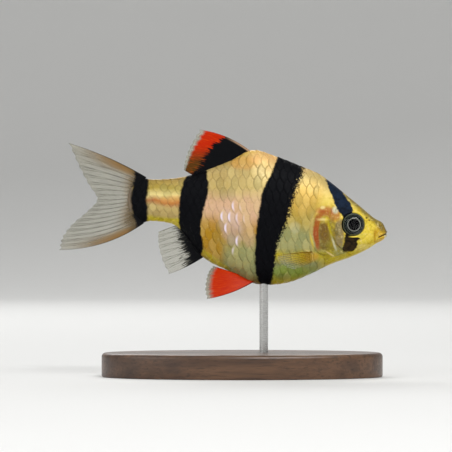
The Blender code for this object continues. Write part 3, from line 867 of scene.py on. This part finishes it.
# The eye from the middle of its pupil out to its rim, in linear values
PUPIL_BLACK = (0.0015, 0.0015, 0.002)
IRIS_COLOURS = (
    (0.0, PUPIL_BLACK), (0.515, PUPIL_BLACK), (0.535, (0.42, 0.42, 0.38)), (0.565, (0.22, 0.23, 0.19)),
    (0.585, (0.009, 0.014, 0.012)), (0.78, (0.006, 0.010, 0.009)), (0.885, (0.012, 0.018, 0.014)),
    (0.91, (0.15, 0.17, 0.12)), (0.94, (0.10, 0.12, 0.085)), (0.965, (0.010, 0.012, 0.010)),
    (1.0, (0.008, 0.009, 0.008)),
)


def eye_material():
    material, nodes = new_material("eye_iris")
    radius, turn = nodes.value_of("radius"), nodes.value_of("turn")
    spokes = nodes.noise(nodes.vector(turn * 9.0, radius * 0.6, 0.0), 3.0, 4.0, 0.6)
    flecks = nodes.noise(nodes.place(), 2600.0, 3.0)
    on_iris = radius.smooth(1.2, 1.35) * radius.smooth(2.0, 1.9)
    painted = nodes.ramp(radius / EYE_RADIUS, IRIS_COLOURS)
    painted = nodes.mix(on_iris * spokes.smooth(0.5, 0.8, 0.0, 0.12), painted, (0.05, 0.07, 0.045))
    painted = nodes.mix(on_iris * flecks.smooth(0.60, 0.72, 0.0, 0.12), painted, (0.16, 0.15, 0.07))
    return dressed(material, {
        "Base Color": painted,
        "Roughness": radius.smooth(1.05, 1.15, 0.12, 0.50),
        "Specular IOR Level": 0.02,
        "Normal": nodes.bump(spokes * on_iris, 0.3, 0.0001),
    })


def cornea_material():
    """A clear wet dome: what is behind it shows, under reflections that grow towards its rim."""
    material, nodes = new_material("eye_cornea")
    tree = material.node_tree
    tree.nodes.remove(tree.nodes["Principled BSDF"])
    film = nodes.noise(nodes.place(), 150.0).smooth(0.3, 0.7, 0.03, 0.05)
    clear = nodes.add("BsdfTransparent")
    shine = nodes.add("BsdfGlossy", (1.0, 1.0, 1.0, 1.0), film)
    share = nodes.math("MINIMUM", nodes.add("Fresnel", 1.2).outputs[0], 0.035)
    both = nodes.add("MixShader", share, clear.outputs[0], shine.outputs[0])
    nodes.join(tree.nodes["Material Output"].inputs["Surface"], both.outputs[0])
    return material


class FinPlace(NamedTuple):
    """Where a shaded point of a fin is: on the fish in millimetres, and in shares of the fin."""

    behind: Value
    above: Value
    run: Value
    across: Value
    streaks: Value


def dorsal_colours(nodes, at):
    band = nodes.mix(at.above.smooth(22.2, 26.2), "fin_amber", "fin_red")
    band = nodes.mix(at.streaks.smooth(0.0, 0.2, 0.0, 0.5), band, "fin_orange")
    past = at.behind - nodes.line(at.above, DORSAL_BLACK_EDGE) + at.streaks * 4.5
    clear = (at.run + at.streaks * 0.10).smooth(0.88, 0.97)
    tint = nodes.mix(clear, nodes.mix(past.smooth(0.45, -0.25), band, "black"), "fin_clear")
    front = at.across.smooth(0.035, 0.0) * at.run.smooth(0.6, 0.3)
    return nodes.mix(front * 0.8, tint, "rose"), clear.smooth(0.0, 1.0, 0.98, 0.38)


def pelvic_colours(nodes, at):
    clear = (at.run + at.streaks * 0.16).smooth(0.84, 0.99)
    tint = nodes.mix(at.streaks.smooth(-0.1, 0.2, 0.0, 0.55), "fin_red", "fin_orange")
    return nodes.mix(clear, tint, "fin_clear"), clear.smooth(0.0, 1.0, 0.94, 0.34)


def caudal_colours(nodes, at):
    lead = (abs(at.across - 0.5) * 2.0).smooth(0.66, 0.96) * at.run.smooth(1.1, 0.3)
    warm = lead.most((at.run + at.streaks * 0.3).smooth(0.42, 0.06) * 0.8)
    tint = nodes.mix(at.streaks.smooth(-0.1, 0.2, 0.0, 0.6), "fin_clear", "fin_smoke")
    root = (at.run + at.streaks * 0.35).smooth(0.26, 0.08)
    tint = nodes.mix(root * 0.85, nodes.mix(warm, tint, "fin_brown"), "fin_smoke")
    # The last dark bar goes on over the fin's root
    past = at.behind - nodes.line(at.above, TAIL_BAR_REAR) + at.streaks * 1.5
    stain = past.smooth(0.3, -0.2)
    solid = warm.most(root).smooth(0.0, 1.0, 0.34, 0.85)
    return nodes.mix(stain, tint, "black"), solid.most(stain)


def anal_colours(nodes, at):
    past = at.behind - nodes.line(at.above, ANAL_BAR_REAR)
    stain = (past + at.streaks * 7.0).smooth(1.0, -0.2) * past.smooth(3.2, 1.2)
    return nodes.mix(stain, "fin_clear", "black"), stain.smooth(0.0, 1.0, 0.28, 0.98)


def pectoral_colours(nodes, at):
    tint = nodes.mix(at.run.smooth(0.95, 0.4), "fin_clear", "ochre")
    return tint, at.run.smooth(0.05, 0.6, 0.30, 0.10)


# Each finish: its colours, how dark its rays are against its web, and how solid they are
FIN_LOOKS = {
    "dorsal": (dorsal_colours, 0.45, 0.55),
    "anal": (anal_colours, 0.55, 0.5),
    "caudal": (caudal_colours, 0.8, 0.6),
    "pelvic": (pelvic_colours, 0.55, 0.6),
    "pectoral": (pectoral_colours, 0.2, 0.26),
}


def fin_material(finish):
    material, nodes = new_material(finish + "_fin")
    place, behind, above = fish_coordinates(nodes)
    run, across, ray = (nodes.value_of(name) for name in ("along", "across", "ray"))
    streaks = nodes.noise(nodes.vector(across * 34.0, run * 2.5, 0.0), 1.6, 3.0, 0.6) - 0.5
    colours, ray_shade, ray_solid = FIN_LOOKS[finish]
    tint, solid = colours(nodes, FinPlace(behind, above, run, across, streaks))
    tint = nodes.mix(ray * ray_shade, tint, "fin_smoke", "MULTIPLY")
    solid = solid.most(ray * ray_solid)
    if finish == "pectoral":
        lead = ray * across.smooth(0.08, 0.02)
        tint = nodes.mix(lead * 0.9, tint, "bronze")
        solid = solid.most(lead * 0.95)
    film = nodes.noise(place, 1500.0)
    return dressed(material, {
        "Base Color": tint,
        "Alpha": solid,
        "Roughness": film.smooth(0.3, 0.7, 0.28, 0.42),
        "Specular IOR Level": 0.10,
        "Normal": nodes.bump(film, 0.2, 0.00008),
    })


WOOD_COLOURS = (
    (0.30, (0.030, 0.013, 0.006)), (0.48, (0.075, 0.034, 0.015)), (0.60, (0.13, 0.062, 0.028)),
    (0.74, (0.055, 0.025, 0.011)),
)


def wood_material():
    material, nodes = new_material("stand_wood")
    place = nodes.place()
    shift = nodes.scaled(nodes.add("TexNoise", place).outputs[1], 0.003, 0.003, 0.003)
    warped = nodes.add("VectorMath", place, shift, operation="ADD").outputs[0]
    rings = nodes.noise(nodes.scaled(warped, 18.0, 260.0, 260.0), 1.0, 5.0, 0.62)
    fibres = nodes.noise(nodes.scaled(place, 90.0, 2600.0, 2600.0), 1.0, 3.0, 0.6)
    dark_fibres = fibres.smooth(0.52, 0.7, 0.0, 0.6)
    return dressed(material, {
        "Base Color": nodes.mix(dark_fibres, nodes.ramp(rings, WOOD_COLOURS), (0.018, 0.008, 0.004)),
        "Roughness": fibres.smooth(0.3, 0.7, 0.32, 0.48),
        "Coat Weight": 0.3,
        "Coat Roughness": 0.25,
        "Normal": nodes.bump(fibres * -0.6 + rings, 0.2, 0.0001),
    })


def steel_material():
    material, nodes = new_material("stand_steel")
    brushed = nodes.noise(nodes.scaled(nodes.place(), 300.0, 300.0, 4000.0), 1.0, 3.0)
    return dressed(material, {
        "Base Color": nodes.mix(brushed, (0.52, 0.52, 0.51), (0.60, 0.60, 0.59)),
        "Roughness": brushed.smooth(0.3, 0.7, 0.22, 0.38),
        "Metallic": 1.0,
        "Normal": nodes.bump(brushed, 0.15, 0.00004),
    })


def circle(sides):
    return 2 * math.pi * np.arange(sides) / sides


def rings(sides, outlines):
    """Points of level rings, each given by half its length, half its width and its height."""
    turns = circle(sides)
    ring = np.stack([np.cos(turns), np.sin(turns), np.ones(sides)], -1)
    return (np.asarray(outlines, float)[:, None] * ring).reshape(-1, 3)


def closed_faces(rows, sides):
    """Faces of a tube of rings, closed by two end points that come after its rings."""
    ring, ends = np.arange(sides), rows * sides
    fans = [fan_faces(ends, ring[::-1]), fan_faces(ends + 1, ring + ends - sides)]
    return [grid_faces(rows, sides, wrap=True), np.concatenate(fans)]


def make_skin(material):
    """One skin over the head, the trunk and the stem of the tail."""
    stations = TAIL_END * (np.arange(1, SKIN_STATIONS + 1) / SKIN_STATIONS) ** SKIN_CROWDING
    behind, turn = np.meshgrid(stations, circle(SKIN_SIDES) - math.pi, indexing="ij")
    places = surface(behind, turn)
    at_behind, at_above = SNOUT_X - places[..., 0], places[..., 2] - BELLY_Z
    under_coat = smooth(-0.1, 0.15, head_distance(at_behind, at_above))
    depth = HEAD_DEPTH + (COAT_DEPTH - HEAD_DEPTH) * under_coat
    depth *= smooth(0.0, 0.3, behind)
    out = (1 - under_coat) * head_relief(at_behind, at_above) - depth
    out *= 1 - 0.6 * smooth(TAIL_THINS_FROM, TAIL_END, behind)
    places += outward(behind, turn) * out[..., None]
    tip = placed(np.array([0.0, BACK[0][1], 0.0]))
    points = np.concatenate([places.reshape(-1, 3), [tip, places[-1].mean(axis=0)]])
    new_piece("skin", points, closed_faces(SKIN_STATIONS, SKIN_SIDES), material, "skin", FLESH)


class Girth:
    """Turns round the body for distances over its surface from the left flank's widest line."""

    SPACING = 0.25
    STATIONS = np.arange(5.0, TAIL_END + 0.8, SPACING)
    REACH, STEP = 34.0, 0.1
    TURNS = np.linspace(-math.pi, math.pi, 721)

    def __init__(self):
        arcs = np.arange(-self.REACH, self.REACH + self.STEP / 2, self.STEP)
        rows, self.tops, self.bottoms = [], [], []
        for station in self.STATIONS:
            ring = surface(np.minimum(station, TAIL_END), self.TURNS)
            lengths = np.concatenate([[0.0], np.cumsum(np.linalg.norm(np.diff(ring, axis=0), axis=1))])
            lengths -= lengths[len(self.TURNS) // 2]
            rows.append(np.interp(arcs, lengths, self.TURNS))
            self.tops.append(np.interp(math.pi / 2, self.TURNS, lengths))
            self.bottoms.append(np.interp(-math.pi / 2, self.TURNS, lengths))
        self.table = np.array(rows)

    def turn(self, behind, arc):
        row = np.clip((behind - self.STATIONS[0]) / self.SPACING, 0, len(self.table) - 1.001)
        column = np.clip((arc + self.REACH) / self.STEP, 0, self.table.shape[1] - 1.001)
        i, j = row.astype(int), column.astype(int)
        u, v = row - i, column - j
        low = self.table[i, j] * (1 - v) + self.table[i, j + 1] * v
        high = self.table[i + 1, j] * (1 - v) + self.table[i + 1, j + 1] * v
        return low * (1 - u) + high * u

    def top(self, behind):
        return np.interp(behind, self.STATIONS, self.tops)

    def bottom(self, behind):
        return np.interp(behind, self.STATIONS, self.bottoms)


def scale_grid(girth, tip, arc, row_height, low=-np.inf, high=np.inf, lift=0.0):
    """A scale's points, top then underside, and their shares along and across it. Its free edge is
    furthest back on the line of its row."""
    y, w = np.meshgrid(np.linspace(-1, 1, SCALE_ACROSS), np.linspace(0, 1, SCALE_ALONG), indexing="ij")
    front, rear = tip - SCALE_LENGTH, tip - SCALE_SAG * (y * SCALE_WIDTH) ** 2
    behind = front + (rear - front) * w**0.8
    turn = girth.turn(behind, np.clip(arc + y * row_height * SCALE_WIDTH, low, high))
    height = SCALE_LIFT * (behind - front) - COAT_DEPTH + SCALE_GAP + SCALE_CROWN * (1 - y**2) + lift
    thickness = SCALE_THICKNESS * (0.35 + 0.65 * smooth(1.0, 0.9, w))
    on_body = np.minimum(behind, TAIL_END), turn
    layers = [surface(*on_body) + outward(*on_body) * h[..., None] for h in (height, height - thickness)]
    return np.concatenate(layers).reshape(-1, 3), np.tile(w.ravel(), 2), np.tile(y.ravel(), 2)


def join_scales(name, scales, material, side=1):
    """One piece of many scales, each with its own tone and its own small patch of the OFBake map."""
    faces = shell_faces(SCALE_ACROSS, SCALE_ALONG)
    count = 2 * SCALE_ACROSS * SCALE_ALONG
    grids, spots = zip(*scales)
    points, rims, acrosses = (np.concatenate(parts) for parts in zip(*grids))
    tones = np.repeat(chance.random(len(scales)), count)
    uv = np.repeat(spots, count, axis=0) + UV_PATCH * np.stack([rims - 0.5, acrosses / 2], -1)
    every = np.concatenate([faces + k * count for k in range(len(scales))])
    values = {"tone": tones, "rim": rims, "across": acrosses}
    new_piece(name, points * (1, side, 1), [every], material, "skin", values=values, uv=uv)


def unwrapped(behind, arc):
    """A place's spot on the skin laid out flat, between 0 and 1 both ways."""
    return (0.02 + 0.96 * behind / UV_LENGTH, 0.5 + arc / UV_GIRTH)


def make_scales(material):
    """Scales in rows that overlap rearwards, on both flanks and along the ridges of back and belly."""
    girth = Girth()
    flank, ridge = [], []
    for course in range(int((LAST_SCALE - FIRST_SCALE) / (SCALE_SPACING / 2)) + 1):
        tip = FIRST_SCALE + course * SCALE_SPACING / 2
        middle = tip - SCALE_LENGTH / 3
        row_height = float(curve(ROW_HEIGHT, middle))
        top, bottom = girth.top(middle), girth.bottom(middle)
        past = RIDGE_PASSING * row_height
        for row in range(-SCALE_ROWS, SCALE_ROWS + 1):
            arc = row * row_height
            if (row + course) % 2 or not bottom - past < arc < top + past:
                continue
            turn = girth.turn(np.array(tip), np.array(np.clip(arc, bottom, top)))
            edge = surface(min(tip, TAIL_END), turn)
            if head_distance(SNOUT_X - edge[0], edge[2] - BELLY_Z) < SCALE_START:
                continue
            grid = scale_grid(girth, tip, arc, row_height, bottom - RIDGE_OVERLAP, top + RIDGE_OVERLAP)
            flank.append((grid, unwrapped(tip - SCALE_LENGTH, arc)))
    for side, mirror in SIDES:
        join_scales("scales_" + side, flank, material, mirror)
    # The back's rows stop for the dorsal fin
    ridges = ((13.2, 25.6, girth.top, 1.25), (37.4, 46.0, girth.top, 0.9), (12.0, 47.0, girth.bottom, 1.1))
    for start, end, ridge_arc, height in ridges:
        for tip in np.arange(start, end, SCALE_SPACING):
            arc = ridge_arc(tip - SCALE_LENGTH / 3)
            grid = scale_grid(girth, tip, arc, height, lift=RIDGE_LIFT)
            ridge.append((grid, unwrapped(tip - SCALE_LENGTH, arc)))
    join_scales("scales_ridges", ridge, material)


def eye_shape(mirror, radii, outs):
    """Points and faces of a shape turned round an eye's axis, from its front end to its rear end."""
    outlines = np.stack([radii, radii, outs * mirror], -1)
    points = np.concatenate([rings(EYE_SIDES, outlines[1:-1]), outlines[[0, -1]]])[:, [0, 2, 1]]
    cos, sin = math.cos(math.radians(EYE_TURN)), math.sin(math.radians(EYE_TURN)) * mirror
    turn = np.array([[cos, sin, 0], [-sin, cos, 0], [0, 0, 1]])
    points = points @ turn.T + placed(np.array([*EYE_CENTRE, mirror * EYE_OUT]))
    return points, closed_faces(len(radii) - 2, EYE_SIDES)


def dome(radius):
    """How far an eye's clear front stands out at a radius."""
    return EYE_HALF_THICKNESS * np.sqrt(np.maximum(1 - (radius / EYE_RADIUS) ** EYE_FLATNESS, 0.0))


def make_eye(side, mirror, iris, cornea):
    # The lens bulges a little through the pupil, inside a ring and a slightly sunken iris
    lens = np.linspace(0, PUPIL_RADIUS, 12)
    bulge = dome(0) - 0.42 + 0.22 * (1 - (lens / PUPIL_RADIUS) ** 2)
    around = np.array([1.13, 1.17, 1.22, 1.28, 1.4, 1.55, 1.7, 1.82, 1.9, 1.96, 2.02, 2.08, 2.13])
    sunk = np.interp(around, [1.13, 1.2, 1.3, 1.7, 1.92, 2.0], [0.40, 0.30, 0.33, 0.22, 0.06, 0.02])
    radii = np.concatenate([lens, around, [EYE_RADIUS, 2.0, 1.0, 0.0]])
    outs = np.concatenate([bulge, dome(around) - sunk, [0.0, -0.6, -1.1, -1.2]])
    values = {
        "radius": np.concatenate([np.repeat(radii[1:-1], EYE_SIDES), [0.0, 0.0]]),
        "turn": np.concatenate([np.tile(np.cos(circle(EYE_SIDES)), len(radii) - 2), [0.0, 0.0]]),
    }
    new_piece("eyeball_" + side, *eye_shape(mirror, radii, outs), iris, "eye", ["eye_" + side], values)
    # The cornea is a thin shell a little way in front of the iris
    outer = np.linspace(0, CORNEA_RADIUS, 30)
    front = dome(outer) + CORNEA_GAP + CORNEA_BULGE * (1 - (outer / CORNEA_RADIUS) ** 2)
    radii = np.concatenate([outer, outer[::-1]])
    outs = np.concatenate([front, front[::-1] - CORNEA_THICKNESS])
    new_piece("cornea_" + side, *eye_shape(mirror, radii, outs), cornea, "eye")


def fin_surface(fin):
    """A function from shares across and along a fin to places, and the fin's flat way."""
    edge = unit(along(fin.roots, 0.0) - along(fin.roots, 1.0))
    across = along(fin.tips, 0.5) - along(fin.roots, 0.5)
    inward = -unit(unit(across) - edge * (unit(across) @ edge))
    flat_way = unit(np.cross(across, along(fin.tips, 0.0) - along(fin.tips, 1.0)))

    def place(share, run):
        share, run = np.broadcast_arrays(np.asarray(share, float), np.asarray(run, float))
        root, tip = along(fin.roots, share), along(fin.tips, share)
        way = unit(tip - root)
        start = root + inward * ROOT_DEPTH
        sideways = unit(edge - way * (way @ edge)[..., None])
        bow = sideways * (fin.first_bow * (1 - share) ** 2 - fin.last_bow * share**2)[..., None]
        t = run[..., None]
        return start + (tip - start) * t + bow * (4 * t * (1 - t))

    return place, flat_way


def fin_edge(fin, share):
    """How far the web reaches towards the tips at a share across: a little less between the rays."""
    between_rays = (1 - np.cos(2 * math.pi * share * (fin.rays - 1))) / 2
    return 1 - WEB_SCALLOP * between_rays


def make_web(node, fin, material, mirror):
    place, flat_way = fin_surface(fin)
    columns = (fin.rays - 1) * WEB_COLUMNS_PER_RAY + 1
    share, run = np.meshgrid(np.linspace(0, 1, columns), np.linspace(0, 1, WEB_ROWS), indexing="ij")
    middle = place(share, run * fin_edge(fin, share))
    half = WEB_HALF_THICKNESS + (WEB_ROOT_HALF_THICKNESS - WEB_HALF_THICKNESS) * (1 - run) ** 3
    points = np.concatenate([middle + flat_way * (way * half)[..., None] for way in (1, -1)])
    points = placed(points.reshape(-1, 3)) * (1, mirror, 1)
    runs, shares = np.tile(run.ravel(), 2), np.tile(share.ravel(), 2)
    values = {"along": runs, "across": shares, "ray": np.zeros(len(points))}
    new_piece(node + "_web", points, [shell_faces(columns, WEB_ROWS)], material, "fin", [node], values)


def tube(line, flat_way, radii):
    """Points and faces of a closed tube round a line, flatter across the fin's flat way."""
    in_plane = unit(np.cross(unit(np.gradient(line, axis=0)), flat_way))[:, None]
    turns = circle(RAY_SIDES)[:, None]
    ring = in_plane * np.cos(turns) + flat_way * (RAY_FLATNESS * np.sin(turns))
    points = (line[:, None] + ring * radii[:, None, None]).reshape(-1, 3)
    return np.concatenate([points, line[:1], line[-1:]]), closed_faces(len(line), RAY_SIDES)


def ray_stretches(fin, ray):
    """A ray's stretches as (from, to, offset at from, offset at to). Only outer rays don't fork."""
    outer = (0, fin.rays - 1) if fin.finish == "caudal" else (0,)
    if ray in outer:
        return [(0.0, RAY_END, 0.0, 0.0)]
    first, second = BRANCH_AT
    wide, narrow = (spread / (fin.rays - 1) for spread in BRANCH_SPREAD)
    stretches = [(0.0, first, 0.0, 0.0)]
    for side in (-1, 1):
        fork = side * wide * 0.6
        stretches.append((first, second, 0.0, fork))
        for twig in (-1, 1):
            stretches.append((second, RAY_END, fork, side * wide + twig * narrow))
    return stretches


def make_rays(node, fin, material, mirror):
    """Each ray is jointed, tapers towards its tip and forks twice."""
    place, flat_way = fin_surface(fin)
    points, quads, tris, runs, shares = [], [], [], [], []
    count = 0
    for ray in range(fin.rays):
        share = ray / (fin.rays - 1)
        length = np.linalg.norm(place(share, 1.0) - place(share, 0.0))
        size = RAY_RADIUS if ray else FIRST_RAY_RADIUS
        for begin, end, from_offset, to_offset in ray_stretches(fin, ray):
            rows = max(int((end - begin) * length / RAY_JOINT_SPACING * ROWS_PER_JOINT), 6)
            t = np.linspace(0, 1, rows)
            run = begin + (end - begin) * t
            at = np.clip(share + from_offset + (to_offset - from_offset) * smooth(0.0, 1.0, t), 0.0, 1.0)
            reach = np.minimum(run, 1.0) * (fin_edge(fin, at) if end > 1 else 1.0)
            line = place(at, reach + np.maximum(run - 1.0, 0.0))
            joint = (run * length / RAY_JOINT_SPACING) % 1
            taper = size + (RAY_TIP_RADIUS - size) * run**0.8
            radii = taper * (BRANCH_SIZE if begin > 0 else 1.0)
            radii *= 1 - JOINT_GROOVE * hump(joint - 0.5, JOINT_WIDTH)
            new_points, (new_quads, new_tris) = tube(line, flat_way, radii)
            points.append(new_points)
            quads.append(new_quads + count)
            tris.append(new_tris + count)
            runs += [np.repeat(run, RAY_SIDES), [begin, end]]
            shares += [np.repeat(at, RAY_SIDES), at[[0, -1]]]
            count += len(new_points)
    points = placed(np.concatenate(points)) * (1, mirror, 1)
    values = {"along": np.concatenate(runs), "across": np.concatenate(shares), "ray": np.ones(count)}
    faces = [np.concatenate(quads), np.concatenate(tris)]
    new_piece(node + "_rays", points, faces, material, "fin", [node], values)


def make_fins():
    for name, fin in FINS.items():
        material = fin_material(fin.finish)
        nodes = [(f"{name}_{side}", mirror) for side, mirror in SIDES] if name in PAIRED else [(name, 1)]
        for node, mirror in nodes:
            make_web(node, fin, material, mirror)
            make_rays(node, fin, material, mirror)


def make_base(material):
    """The oval wooden base, its top edge rounded and its bottom edge eased."""
    arc = [math.pi / 2 * k / 8 for k in range(9)]
    profile = [(0.35, 0.0), (0.12, 0.08), (0.0, 0.35)]
    profile += [(BASE_EDGE * (1 - math.cos(a)), BASE_HEIGHT - BASE_EDGE * (1 - math.sin(a))) for a in arc]
    profile += [(inset, BASE_HEIGHT) for inset in (1.2, 2.0, 4.0, 8.0, 12.0)]
    outlines = [(BASE_LENGTH / 2 - inset, BASE_WIDTH / 2 - inset, height) for inset, height in profile]
    points = np.concatenate([rings(BASE_SIDES, outlines), [(0, 0, 0), (0, 0, BASE_HEIGHT)]])
    faces = closed_faces(len(profile), BASE_SIDES)
    base = new_piece("stand_base_wood", points, faces, material, "wood", ["stand_base"])
    base.data.set_sharp_from_angle(angle=math.radians(40))


def make_floor():
    """A round pale floor that curves up into a wall on all sides."""
    sides, flat, bend, wall = 96, 0.66, 0.42, 1.3
    profile = [(flat * k / 4, 0.0) for k in range(1, 5)]
    turns = np.linspace(0, math.pi / 2, 24)[1:]
    profile += [(flat + bend * math.sin(a), bend * (1 - math.cos(a))) for a in turns]
    profile.append((flat + bend, wall))
    points = np.concatenate([rings(sides, [(r, r, z) for r, z in profile]), [(0, 0, 0)]])
    faces = fan_faces(len(points) - 1, np.arange(sides)).tolist()
    faces += grid_faces(len(profile), sides, wrap=True)[:, ::-1].tolist()
    mesh = bpy.data.meshes.new("floor")
    mesh.from_pydata(points.tolist(), [], faces)
    mesh.shade_smooth()
    paper = {"Base Color": colour((0.74, 0.74, 0.73)), "Roughness": 0.9, "Specular IOR Level": 0.1}
    mesh.materials.append(dressed(new_material("floor_paper")[0], paper))
    new_object("floor", mesh)


def area_light(name, place, width, height, power):
    data = bpy.data.lights.new(name, "AREA")
    data.shape = "RECTANGLE"
    data.size, data.size_y = width, height
    data.energy = power
    light = new_object(name, data)
    light.location = place
    light.rotation_mode = "QUATERNION"
    light.rotation_quaternion = (Vector(LIT_PLACE) - Vector(place)).to_track_quat("-Z", "Y")


def make_studio():
    make_floor()
    area_light("key", (0.22, -0.42, 0.55), 0.45, 0.35, 2.5)
    area_light("sparkle", (0.10, -0.45, 0.40), 0.05, 0.05, 0.5)
    area_light("fill", (-0.50, -0.35, 0.30), 0.5, 0.5, 1.1)
    area_light("rim", (-0.15, 0.50, 0.45), 0.6, 0.3, 2.2)
    world = bpy.data.worlds.new("studio")
    world.use_nodes = True
    sky = world.node_tree.nodes["Background"].inputs
    sky["Color"].default_value = (1.0, 1.0, 1.0, 1.0)
    sky["Strength"].default_value = 0.45
    scene = bpy.context.scene
    scene.world = world
    scene.view_settings.view_transform = "Standard"
    scene.view_settings.look = "None"


def make_camera():
    data = bpy.data.cameras.new("camera")
    data.sensor_width = SENSOR_WIDTH
    data.lens = SENSOR_WIDTH * CAMERA_DISTANCE / (VIEW_WIDTH * MM)
    data.clip_start, data.clip_end = 0.01, 10.0
    camera = new_object("camera", data)
    camera.location = (VIEW_CENTRE_X * MM, -CAMERA_DISTANCE, VIEW_CENTRE_Z * MM)
    camera.rotation_euler = (math.pi / 2, 0.0, 0.0)
    bpy.context.scene.camera = camera


def main():
    make_camera()
    markings = make_markings()
    make_skin(skin_material(markings))
    make_scales(scale_material(markings))
    iris, cornea = eye_material(), cornea_material()
    for side, mirror in SIDES:
        make_eye(side, mirror, iris, cornea)
    make_fins()
    make_base(wood_material())
    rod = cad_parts["stand_rod"]
    rod.data.materials.clear()
    rod.data.materials.append(steel_material())
    make_studio()


main()
